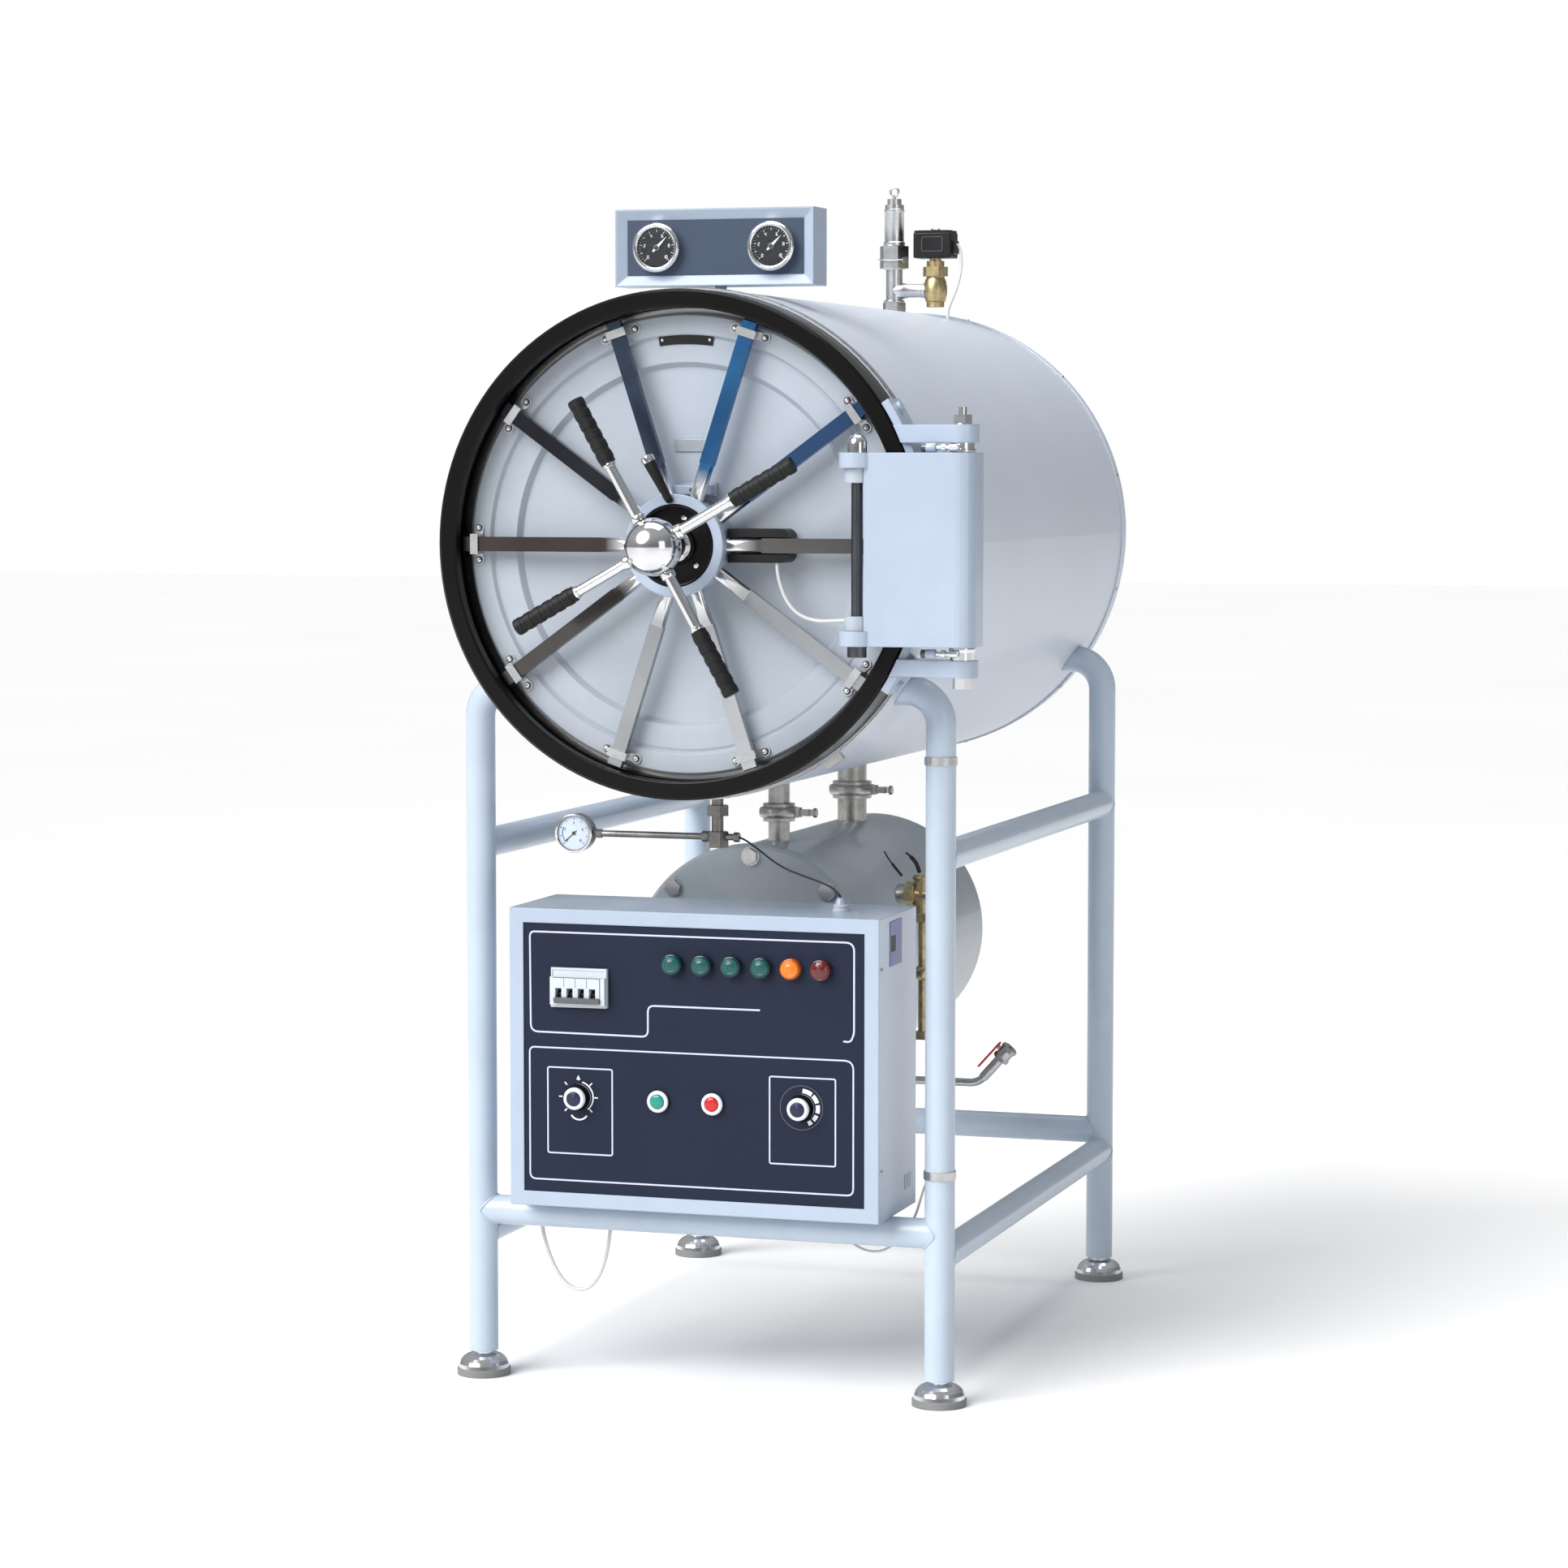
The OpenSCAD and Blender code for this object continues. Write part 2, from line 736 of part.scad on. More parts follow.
module vessel_head(extra) turn_y(concat(
    [[0, head_y]], ellipse(shell_r + extra, head_y, head_depth + chamber_wall + extra, 12)));
module pressure_vessel() color("silver") difference() {
    on_drum() {
        turn_y(concat(
            [[chamber_r, flange_y], [flange_r, flange_y], [flange_r, flange_y + flange_t],
            [shell_r, flange_y + flange_t]],
            ellipse(shell_r, head_y, head_depth + chamber_wall, 12),
            flip(ellipse(chamber_r, head_y, head_depth, 12))));
        turn_y([[shell_r - over, jacket_y], [jacket_r, jacket_y],
            [jacket_r, jacket_y + jacket_len], [shell_r - over, jacket_y + jacket_len]]);
    }
    on_drum() turn_y([[shell_r, jacket_y + closing_t], [jacket_r - jacket_wall, jacket_y + closing_t],
        [jacket_r - jacket_wall, jacket_y + jacket_len - closing_t],
        [shell_r, jacket_y + jacket_len - closing_t]]);
    on_drum() turn_y([[gasket_in_r, flange_y - over], [gasket_in_r + gasket_w, flange_y - over],
        [gasket_in_r + gasket_w, flange_y + gasket_sink], [gasket_in_r, flange_y + gasket_sink]]);
    pipe_bores(-pipe_wall, gen_z, drum_z - shell_r);
}
module door_gasket() color("darkred") on_drum() turn_y(concat(
    [[gasket_in_r, flange_y + gasket_sink]],
    [[gasket_in_r, flange_y]],
    [for (i = [1 : 8]) [gasket_in_r + gasket_w / 2 * (1 - cos(180 * i / 8)),
        flange_y - gasket_proud * sin(180 * i / 8)]],
    [[gasket_in_r + gasket_w, flange_y + gasket_sink]]));

// Hinge between the ring and the door
module tongue(px, py, r, x0, y0, y1) {
    translate([px, py]) circle(r = r);
    polygon([[px, py - r], [px, py + r], [x0, y1], [x0, y0]]);
}
module ring_pad(flip_z) on_drum() mirror([0, 0, flip_z ? 1 : 0])
    translate([0, ring_front_y + over, 0]) rotate([-90, 0, 0]) rotate([0, 0, -pad_out_deg])
    rotate_extrude(angle = pad_out_deg - pad_in_deg)
    translate([ring_r + weld_gap, 0]) square([pad_thick, pad_len]);
module pad_bolt(flip_z) on_drum() mirror([0, 0, flip_z ? 1 : 0])
    rotate([0, -(pad_out_deg - pad_bolt_in_deg), 0])
    translate([0, ring_front_y + pad_len / 2, 0])
    rod_x(pad_bolt_r, ring_r + over, ring_r + pad_thick + pad_bolt_h);
module bracket(z, t) difference() {
    translate([0, 0, z]) linear_extrude(t) tongue(outer_pin_x, outer_pin_y, bracket_r,
        outer_pin_x - bracket_reach, ring_front_y + over, ring_front_y + over + pad_len);
    on_drum() rod_y(ring_r + weld_gap, outer_pin_y - bracket_r - over, casing_end_y);
    translate([outer_pin_x, outer_pin_y, 0]) rod_z(outer_pin_r + weld_gap, z - over, z + t + over);
}
module hinge_brackets() color("gainsboro") {
    bracket(arm_z1 + upper_gap, bracket_t);
    bracket(bracket_z0, lower_bracket_t);
    for (flip_z = [false, true]) {
        ring_pad(flip_z);
        pad_bolt(flip_z);
    }
}
module outer_hinge_pin() color("silver") translate([outer_pin_x, outer_pin_y, 0]) {
    rod_z(outer_pin_r, bracket_z0 - pin_nut_h, bracket_z1 + over);
    hex_z(pin_hex, bracket_z1, bracket_z1 + pin_head_h);
    rod_z(pin_stud_r, bracket_z1, bracket_z1 + pin_head_h + pin_stud_h);
    hex_z(pin_hex, bracket_z0 - pin_nut_h, bracket_z0);
    rod_z(spacer_r, arm_z1 + run_gap, arm_z1 + upper_gap);
    rod_z(spacer_r, arm_z0 - lower_gap, arm_z0 - run_gap);
}
module arm_outline(inset) {
    front = outer_pin_y - arm_front + inset;
    right = outer_pin_x + knuckle_r - inset;
    polygon(concat([[arm_left_x + inset, front]],
        arc(right - arm_corner + inset, front + arm_corner - inset, arm_corner - inset, -90, 0, 6),
        [[right, outer_pin_y], [outer_pin_x - knuckle_r, outer_pin_y],
        [outer_pin_x - knuckle_r, outer_pin_y - arm_back], [arm_left_x + inset, outer_pin_y - arm_back]]));
}
module arm_hollow() {
    front = outer_pin_y - arm_front + arm_wall;
    polygon([[arm_left_x + arm_wall, front], [outer_pin_x - knuckle_r - arm_wall, front],
        [outer_pin_x - knuckle_r - arm_wall, outer_pin_y], [arm_left_x + arm_wall, outer_pin_y]]);
}
module arm_lug(z) translate([0, 0, z]) linear_extrude(lug_t) {
    translate([inner_pin_x, inner_pin_y]) circle(r = lug_r);
    polygon([[inner_pin_x, inner_pin_y - lug_r], [arm_left_x + arm_wall, outer_pin_y - arm_front],
        [arm_left_x + arm_wall, inner_pin_y + lug_r], [inner_pin_x, inner_pin_y + lug_r]]);
}
module hinge_arm() color("gainsboro") difference() {
    union() {
        translate([0, 0, arm_z0]) linear_extrude(arm_h) arm_outline(0);
        translate([outer_pin_x, outer_pin_y, 0]) rod_z(knuckle_r, arm_z0, arm_z1);
        arm_lug(arm_z0);
        arm_lug(arm_z1 - lug_t);
    }
    translate([0, 0, arm_z0 + lug_t]) linear_extrude(arm_h - 2 * lug_t) arm_hollow();
    translate([outer_pin_x, outer_pin_y, 0]) rod_z(outer_pin_r + shaft_gap, arm_z0 - over, arm_z1 + over);
    translate([inner_pin_x, inner_pin_y, 0]) rod_z(inner_pin_r + weld_gap, arm_z0 - over, arm_z1 + over);
}
module inner_hinge_pin() color("darkslategray") translate([inner_pin_x, inner_pin_y, 0]) {
    rod_z(inner_pin_r, arm_z0 - over, arm_z1 + over);
    rod_z(boss_r, arm_z0 - boss_h, arm_z0);
    translate([0, 0, arm_z1]) rotate_extrude() polygon(concat(
        [[0, 0]], ellipse(boss_r, cap_h - boss_r, boss_r, 6)));
    rod_z(boss_r, arm_z1, arm_z1 + cap_h - boss_r);
}
module lug_reach(z0, z1) difference() {
    translate([0, 0, z0]) linear_extrude(z1 - z0) {
        intersection() {
            translate([inner_pin_x, inner_pin_y]) circle(r = door_lug_r);
            translate([inner_pin_x - door_lug_r, inner_pin_y - door_lug_r])
                square([door_lug_r + door_lug_in, 2 * door_lug_r]);
        }
        translate([inner_pin_x - door_lug_r, inner_pin_y])
            square([door_lug_r + door_lug_in, door_rim_y + rim_step - inner_pin_y]);
    }
    translate([inner_pin_x, inner_pin_y, 0]) rod_z(inner_pin_r + shaft_gap, z0 - over, z1 + over);
    on_drum() difference() {
        rod_y(door_r + over, door_rim_y - weld_gap, door_back_y);
        rod_y(rim_in_r - weld_gap, door_rim_y - over, door_back_y + over);
    }
}
module door_lugs() {
    lug_reach(arm_z0 + lug_t + fit_gap, arm_z0 + lug_t + door_lug_h);
    lug_reach(arm_z1 - lug_t - door_lug_h, arm_z1 - lug_t - fit_gap);
}

// Door
module door_disc() on_drum() turn_y([
    [0, flange_y + plug_step - plug_slope], [plug_r - plug_slope, flange_y + plug_step - plug_slope],
    [plug_r, flange_y], [plug_r, door_back_y], [door_r, door_back_y],
    [door_r, door_rim_y + rim_slope], [door_r - rim_slope, door_rim_y],
    [rim_in_r + rim_slope, door_rim_y], [rim_in_r, door_rim_y + rim_step + groove_step],
    [rim_in_r - rim_slope, door_rim_y + rim_step], [recess_r, door_rim_y + rim_step],
    [recess_r - recess_slope, door_rim_y + rim_step + recess_step],
    [recess_r * dish_share, door_rim_y + rim_step + recess_step + dish_step],
    [0, door_rim_y + rim_step + recess_step + dish_step]]);
module door_plate() color("gainsboro") {
    door_disc();
    door_lugs();
}
module hub_collar() color("white") difference() {
    on_drum() turn_y([[spindle_r + shaft_gap, collar_step_y - collar_step_t],
        [cup_r + run_gap, collar_step_y - collar_step_t], [cup_r + run_gap, collar_y],
        [collar_r - over, collar_y], [collar_r, collar_y + over], [collar_r, collar_y + collar_rim_t],
        [cup_r + run_gap + collar_wall, collar_y + collar_rim_t],
        [cup_r + run_gap + collar_wall, collar_step_y], [collar_out_r, collar_step_y],
        [collar_out_r, collar_seat_y], [collar_out_r - collar_wall, collar_seat_y],
        [collar_out_r - collar_wall, collar_step_y + collar_step_t],
        [spindle_r + shaft_gap, collar_step_y + collar_step_t]]);
    for (k = [0 : bar_count - 1]) spoke(k * bar_pitch, bar_y)
        rod_x(rod_r + run_gap, collar_out_r - 2 * collar_wall, collar_out_r + over);
}
module guide() {
    inner = bar_w / 2 + run_gap;
    front = -bar_t / 2 - run_gap;
    seat = door_rim_y - bar_y;
    translate([guide_r - guide_len / 2, 0, 0]) {
        for (s = [-1, 1]) {
            box(0, guide_len, front - guide_t, seat, min(s * inner, s * (inner + guide_wall)),
                max(s * inner, s * (inner + guide_wall)));
            box(0, guide_len, seat - guide_t, seat, min(s * inner, s * (inner + guide_wall + guide_ear_out)),
                max(s * inner, s * (inner + guide_wall + guide_ear_out)));
            translate([guide_len / 2, 0, s * (inner + guide_wall + guide_ear_out)])
                rod_y(guide_ear_r, seat - guide_t, seat);
        }
        box(0, guide_len, front - guide_t, front, -inner - guide_wall, inner + guide_wall);
    }
}
module bar_guides() color("silver")
    for (k = [0 : bar_count - 1]) spoke(k * bar_pitch, bar_y) guide();
module lock_bar(k) color("slategray") spoke((k - 1) * bar_pitch, bar_y) {
    intersection() {
        rod_x(rod_r, rod_in_r, rod_out_r);
        translate([0, 0, -bar_w]) linear_extrude(2 * bar_w) polygon([
            [rod_in_r, -bar_w], [rod_out_r - ramp_len, -rod_r], [rod_out_r, -bar_t / 2],
            [rod_out_r, bar_t / 2], [rod_out_r - ramp_len, rod_r], [rod_in_r, bar_w]]);
    }
    translate([0, 0, -bar_w / 2]) linear_extrude(bar_w) polygon([
        [rod_out_r - over, -bar_t / 2], [bar_tip_r - tip_bevel, -bar_t / 2],
        [bar_tip_r, -bar_t / 2 + tip_bevel], [bar_tip_r, bar_t / 2 - tip_bevel],
        [bar_tip_r - tip_bevel, bar_t / 2], [rod_out_r - over, bar_t / 2]]);
    translate([pin_at_r, 0, 0]) rod_y(pin_r, 0, rod_r + run_gap + scroll_t);
}
module interlock_switch() color("black") {
    on_drum() for (s = [-1, 1]) mirror([0, 0, s < 0 ? 1 : 0]) difference() {
        union() {
            box(switch_x0, switch_x1 - switch_h, bar_y - switch_front / 2, collar_seat_y,
                bar_w / 2 + switch_gap, bar_w / 2 + switch_gap + switch_h);
            translate([switch_x1 - switch_h, 0, bar_w / 2 + switch_gap])
                rod_y(switch_h, bar_y - switch_front / 2, collar_seat_y);
        }
        box(switch_x0, switch_x1 + over, bar_y - bar_set_back, collar_seat_y + over,
            0, bar_w / 2 + switch_gap);
        rod_y(collar_out_r + weld_gap, collar_y, collar_seat_y + over);
    }
    translate([peg_x, 0, drum_z + peg_up]) {
        translate([0, peg_y, 0]) rotate([0, 90 - peg_angle, 0])
            cylinder(r1 = peg_root_r, r2 = peg_tip_r, h = peg_len);
        rod_y(peg_root_r, peg_y, collar_y - weld_gap);
    }
}
module interlock_cable() color("white") cable(interlock_path, cable_r);

// Handwheel with its scroll plate
function slot_at(t, side) = let (
        r = pin_at_r + bar_stroke * t,
        a = lock_turn * t,
        lean = atan2(bar_stroke, r * lock_turn * PI / 180))
    [r * cos(a) + side * slot_r * cos(a - lean), r * sin(a) + side * slot_r * sin(a - lean)];
function slot_cap(t, turn) = let (
        r = pin_at_r + bar_stroke * t,
        a = lock_turn * t,
        lean = atan2(bar_stroke, r * lock_turn * PI / 180))
    [for (i = [1 : cap_steps - 1]) [
        r * cos(a) + slot_r * cos(a - lean + turn + 180 * i / cap_steps),
        r * sin(a) + slot_r * sin(a - lean + turn + 180 * i / cap_steps)]];
module slot_outline() polygon(concat(
    [for (i = [0 : slot_steps]) slot_at(i / slot_steps, 1)],
    slot_cap(1, 0),
    [for (i = [slot_steps : -1 : 0]) slot_at(i / slot_steps, -1)],
    slot_cap(0, 180)));
module scroll_plate() translate([0, scroll_y, 0]) rotate([90, 0, 0]) translate([0, 0, -scroll_t])
    linear_extrude(scroll_t) difference() {
        circle(r = scroll_r);
        for (k = [0 : bar_count - 1]) rotate(k * bar_pitch) slot_outline();
    }
module handwheel() color("silver") on_drum() {
    translate([0, wheel_y, 0]) rotate([-90, 0, 0]) sphere(r = ball_r);
    rod_y(spindle_r, wheel_y, collar_seat_y - fit_gap);
    scroll_plate();
    for (k = [0 : handle_count - 1]) translate([0, wheel_y, 0])
        rotate([0, -(handle_angle + k * handle_pitch), 0]) rod_x(handle_r, ball_r / 2, handle_reach - over);
}
module hub_cup() color("black") on_drum() turn_y([
    [spindle_r, cup_back_y], [spindle_r, cup_back_y - cup_floor - cup_boss_h],
    [cup_boss_r - over, cup_back_y - cup_floor - cup_boss_h],
    [cup_boss_r, cup_back_y - cup_floor - cup_boss_h + over], [cup_boss_r, cup_back_y - cup_floor],
    [cup_r - cup_wall - over, cup_back_y - cup_floor], [cup_r - cup_wall, cup_y + over],
    [cup_r - cup_wall / 2, cup_y],
    [cup_r, cup_y + over], [cup_r, cup_back_y]]);
module grip() {
    pitch = grip_len / grip_ribs;
    rotate([0, 90, 0]) rotate_extrude() polygon(concat(
        [[handle_r, 0]],
        [for (i = [0 : grip_ribs - 1]) each [
            [grip_r - rib_depth, i * pitch], [grip_r - rib_depth, (i + rib_share) * pitch],
            [grip_r, (i + rib_share) * pitch + rib_depth], [grip_r, (i + 1) * pitch - rib_depth]]],
        [[grip_r - rib_depth, grip_len], [grip_r - rib_depth, grip_len + rib_depth],
        [0, grip_len + rib_depth], [0, grip_len - over], [handle_r, grip_len - over]]));
}
module handle_grips() color("black") for (k = [0 : handle_count - 1])
    spoke(handle_angle + k * handle_pitch, wheel_y)
    translate([handle_reach - grip_len, 0, 0]) grip();

// Steam generator and its pipes
module steam_generator() color("lightslategray") translate([0, 0, gen_z]) difference() {
    turn_y(concat(
        [[gen_ring_in_r, gen_y], [gen_flange_r, gen_y], [gen_flange_r, gen_y + gen_ring_t],
        [gen_r, gen_y + gen_ring_t]],
        ellipse(gen_r, gen_y + gen_ring_t + gen_len, gen_head, 8),
        flip(ellipse(gen_r - gen_wall, gen_y + gen_ring_t + gen_len, gen_head - gen_wall, 8)),
        [[gen_r - gen_wall, gen_y + gen_ring_t], [gen_ring_in_r, gen_y + gen_ring_t]]));
    translate([0, 0, -gen_z]) pipe_bores(-pipe_wall, gen_z, drum_z);
}
module heater_flange() color("lightslategray") translate([0, 0, gen_z]) {
    turn_y([[0, gen_y - gen_plate_t], [gen_flange_r - gen_plate_round, gen_y - gen_plate_t],
        [gen_flange_r, gen_y - gen_plate_t + gen_plate_round], [gen_flange_r, gen_y], [0, gen_y]]);
    for (k = [0 : gen_bolt_count - 1]) rotate([0, k * 360 / gen_bolt_count, 0])
        translate([0, gen_y - gen_plate_t + over, gen_bolt_r]) rotate([90, 0, 0])
        hex_z(gen_bolt_d, 0, gen_bolt_h + over);
}
module steam_pipe(y, r, z) translate([0, y, 0]) difference() {
    union() {
        rod_z(r, gen_z, drum_z - shell_r);
        rod_z(r + ferrule_over, z - clamp_h, z + clamp_h);
        rod_z(r + clamp_over, z - clamp_h / 2, z + clamp_h / 2);
        box(r + ferrule_over, r + clamp_over + wing_len, -wing_w / 2, wing_w / 2,
            z - wing_w / 2, z + wing_w / 2);
        translate([r + clamp_over + wing_len - wing_w / 2, 0, z])
            box(-wing_w / 4, wing_w / 4, -wing_h / 2, wing_h / 2, -wing_w / 2, wing_w / 2);
    }
    rod_z(r - pipe_wall, gen_z - over, drum_z);
    translate([0, -y, gen_z]) rod_y(gen_r + weld_gap, gen_y, gen_y + gen_len);
    translate([0, -y, drum_z]) rod_y(jacket_r + weld_gap, jacket_y, jacket_y + jacket_len);
}
module steam_pipes() color("silver") {
    steam_pipe(front_pipe_y, front_pipe_d / 2, drum_z - casing_r - front_clamp_down);
    steam_pipe(rear_pipe_y, rear_pipe_d / 2, drum_z - casing_r - rear_clamp_down);
}

// Drain
module elbow(turn_r, r, deg) translate([0, 0, turn_r]) rotate([90, 0, 0]) rotate([0, 0, -90])
    rotate_extrude(angle = deg) translate([turn_r, 0]) circle(r = r);
module at_drain_rise() translate([drain_turn_x, drain_y, drain_z]) translate([0, 0, drain_turn_r])
    rotate([0, -drain_deg, 0]) translate([0, 0, -drain_turn_r]) rotate([0, 90, 0]) children();
module at_drain_valve() at_drain_rise() translate([0, 0, drain_rise]) children();
module drain_pipe() color("silver") {
    difference() {
        union() {
            translate([drain_in_x, drain_y, 0]) rod_z(drain_r, drain_z + drain_in_r, gen_z);
            translate([drain_in_x + drain_in_r, drain_y, drain_z]) mirror([1, 0, 0])
                elbow(drain_in_r, drain_r, 90);
            translate([0, drain_y, drain_z]) rod_x(drain_r, drain_in_x + drain_in_r, drain_turn_x);
            translate([drain_turn_x, drain_y, drain_z]) elbow(drain_turn_r, drain_r, drain_deg);
        }
        translate([0, 0, gen_z]) rod_y(gen_r + weld_gap, gen_y, gen_y + gen_len);
    }
    at_drain_rise() rod_z(drain_sleeve_r, -over, drain_rise + over);
    at_drain_valve() difference() {
        union() {
            hex_z(drain_hex, 0, drain_body_len / 4);
            rod_z(drain_body_r, drain_body_len / 4, 3 * drain_body_len / 4);
            hex_z(drain_hex, 3 * drain_body_len / 4, drain_body_len);
            translate([0, 0, drain_body_len / 2]) rod_x(stem_r, -stem_h - lever_t, 0);
        }
        rod_z(drain_r - pipe_wall, drain_body_len / 2, drain_body_len + over);
    }
}
module drain_lever() color("red") at_drain_valve() translate([-stem_h, 0, drain_body_len / 2]) difference() {
    union() {
        rod_x(lever_w * 3 / 4, -lever_t, 0);
        box(-lever_t, 0, -lever_w / 2, lever_w / 2, -lever_len, 0);
        translate([0, 0, -lever_len]) rod_x(lever_w / 2, -lever_t, 0);
    }
    rod_x(stem_r + shaft_gap, -lever_t - over, over);
}

// Valves on the drum
module safety_valve() color("silver") difference() {
    translate([0, column_y, 0]) {
        rod_z(column_r, drum_z, column_z + column_base_h);
        hex_z(column_base_r + column_r, column_z, column_z + column_base_h);
        rod_z(column_r, column_z + column_base_h - over, column_z + tee_h);
        translate([0, 0, column_z + branch_up]) rod_x(branch_r, 0, exhaust_x);
        hex_z(union_hex, column_z + tee_h, column_z + tee_h + union_h);
        rod_z(bonnet_r, column_z + tee_h + union_h - over, column_z + tee_h + union_h + bonnet_h);
        rod_z(bonnet_cap_r, column_z + tee_h + union_h + bonnet_h - over, bonnet_z);
    }
    on_drum() vessel_head(weld_gap);
    translate([exhaust_x, column_y, 0]) rod_z(exhaust_r, column_z, column_z + tee_h);
    translate([0, column_y, 0]) rod_z(ring_stem_r + shaft_gap, bonnet_z - bonnet_cap_h, bonnet_z + over);
}
module pull_ring() color("silver") translate([0, column_y, bonnet_z]) {
    rod_z(ring_stem_r, -bonnet_cap_h + 2 * over, ring_major_r);
    translate([0, 0, ring_lift + ring_major_r + ring_minor_r]) rotate([90, 0, 0]) rotate_extrude()
        translate([ring_major_r, 0]) circle(r = ring_minor_r);
}
module exhaust_valve() color("goldenrod") translate([exhaust_x, column_y, column_z]) {
    rod_z(exhaust_r, exhaust_up, exhaust_up + exhaust_h);
    hex_z(exhaust_hex, exhaust_up + exhaust_nut_up, exhaust_up + exhaust_nut_up + exhaust_nut_h);
    rod_z(exhaust_r - coil_round, exhaust_up + exhaust_h - over, coil_up);
}
module exhaust_coil() color("black")
    translate([exhaust_x, column_y, column_z + coil_up])
    linear_extrude(coil_h) polygon(concat(
        arc(coil_w / 2 - coil_round, coil_d / 2 - coil_round, coil_round, 0, 90, 4),
        arc(-coil_w / 2 + coil_round, coil_d / 2 - coil_round, coil_round, 90, 180, 4),
        arc(-coil_w / 2 + coil_round, -coil_d / 2 + coil_round, coil_round, 180, 270, 4),
        arc(coil_w / 2 - coil_round, -coil_d / 2 + coil_round, coil_round, 270, 360, 4)));
module water_valve() color("goldenrod") difference() {
    translate([water_x, water_y, 0]) {
        rod_z(water_pipe_r, water_low_z, water_body_z);
        rod_z(water_body_r, water_body_z - water_body_h / 2, water_body_z + water_body_h / 2);
        translate([0, 0, water_body_z]) {
            rod_x(water_body_r, -water_reach, water_reach / 2);
            translate([-water_reach, 0, 0]) rotate([0, 90, 0]) hex_z(water_hex, 0, water_nut_len);
        }
        hex_z(water_hex, water_body_z - water_body_h / 2 - water_nut_len, water_body_z - water_body_h / 2);
        hex_z(water_hex / 2 + water_pipe_r, water_low_z, water_low_z + water_nut_len);
        translate([0, 0, gen_z]) rod_x(water_pipe_r, -water_x + gen_r / 2, 0);
        translate([0, 0, gen_z]) sphere(r = water_body_r);
    }
    translate([0, 0, gen_z]) rod_y(gen_r + weld_gap, gen_y, gen_y + gen_len);
}
module jacket_gauge() color("silver") difference() {
    translate([0, cluster_y, 0]) {
        rod_z(cluster_r, cluster_z - cluster_hex_h, drum_z - shell_r);
        hex_z(cluster_hex, cluster_z - cluster_hex_h, cluster_z + cluster_hex_h / 2);
        hex_z(cluster_hex, cluster_z + 2 * cluster_hex_h, cluster_z + 3 * cluster_hex_h);
        translate([0, 0, cluster_z]) rod_x(gauge_tube_r, gauge_x + gauge_r - over, cluster_hex);
        translate([gauge_x, 0, cluster_z]) turn_y([[0, gauge_step - gauge_t / 2],
            [gauge_r - gauge_rim, gauge_step - gauge_t / 2], [gauge_r - gauge_rim, -gauge_t / 2],
            [gauge_r, -gauge_t / 2], [gauge_r, gauge_t / 2], [0, gauge_t / 2]]);
    }
    on_drum() rod_y(jacket_r + weld_gap, jacket_y, jacket_y + jacket_len);
}

// Gauge box
module gauge_box() color("white") {
    difference() {
        box(-gbox_x, gbox_x, gbox_front_y, gbox_front_y + gbox_d, gbox_z, gbox_z + gbox_h);
        box(-gbox_x + gbox_t, gbox_x - gbox_t, gbox_front_y + gbox_bevel + gbox_t,
            gbox_front_y + gbox_d - gbox_t, gbox_z + gbox_t, gbox_z + gbox_h - gbox_t);
        translate([0, gbox_front_y, gbox_z + gbox_h / 2]) bevel_cut();
    }
    difference() {
        translate([0, post_y, 0]) rod_z(post_r, drum_z + ring_r, gbox_z + over);
        on_drum() rod_y(casing_r, casing_y - over, casing_end_y);
    }
}
module bevel_cut() {
    outer_x = gbox_x - gbox_t;
    outer_z = gbox_h / 2 - gbox_t;
    inner_x = gbox_x - gbox_border;
    inner_z = gbox_h / 2 - gbox_border + over;
    front = [[-outer_x, 0, -outer_z], [outer_x, 0, -outer_z], [outer_x, 0, outer_z], [-outer_x, 0, outer_z]];
    back = [[-inner_x, gbox_bevel, -inner_z], [inner_x, gbox_bevel, -inner_z],
        [inner_x, gbox_bevel, inner_z], [-inner_x, gbox_bevel, inner_z]];
    polyhedron(points = concat(front, back), faces = [[3, 2, 1, 0], [4, 5, 6, 7], [1, 5, 4, 0],
        [2, 6, 5, 1], [3, 7, 6, 2], [0, 4, 7, 3]]);
    translate([0, -over / 2, 0]) box(-outer_x, outer_x, -over / 2, over / 2, -outer_z, outer_z);
    box(-inner_x, inner_x, gbox_bevel - over, gbox_bevel + gbox_t + over, -inner_z, inner_z);
}
module face_panels() color("darkslateblue") {
    difference() {
        box(-gbox_x + gbox_border, gbox_x - gbox_border, gbox_front_y + gbox_bevel,
            gbox_front_y + gbox_bevel + panel_t,
            gbox_z + gbox_border - over, gbox_z + gbox_h - gbox_border + over);
        for (s = [-1, 1]) translate([s * dial_x, 0, gbox_z + gbox_h / 2])
            rod_y(dial_case_r + fit_gap, gbox_front_y, gbox_front_y + gbox_d);
    }
    difference() {
        box(-cab_w / 2 + cab_border - panel_margin, cab_w / 2 - cab_border + panel_margin,
            panel_y, panel_y + panel_t,
            cab_z + cab_border - panel_margin, cab_z + cab_h - cab_border + panel_margin);
        for (i = [0 : lamp_count - 1]) translate([lamp_x0 + i * lamp_pitch, 0, cab_z + lamp_up])
            rod_y(lamp_body_r + fit_gap, panel_y - over, panel_y + panel_t + over);
        for (x = [knob_lx, knob_rx]) translate([x, 0, cab_z + knob_up])
            rod_y(knob_shaft_r + shaft_gap, panel_y - over, panel_y + panel_t + over);
        for (x = [button_gx, button_rx]) translate([x, 0, cab_z + button_up])
            rod_y(button_sleeve_r + weld_gap, panel_y - over, panel_y + panel_t + over);
        box(breaker_x0 - fit_gap, breaker_x1 + fit_gap, panel_y - over, panel_y + panel_t + over,
            cab_z + breaker_up - fit_gap, cab_z + breaker_up + breaker_h + fit_gap);
    }
}
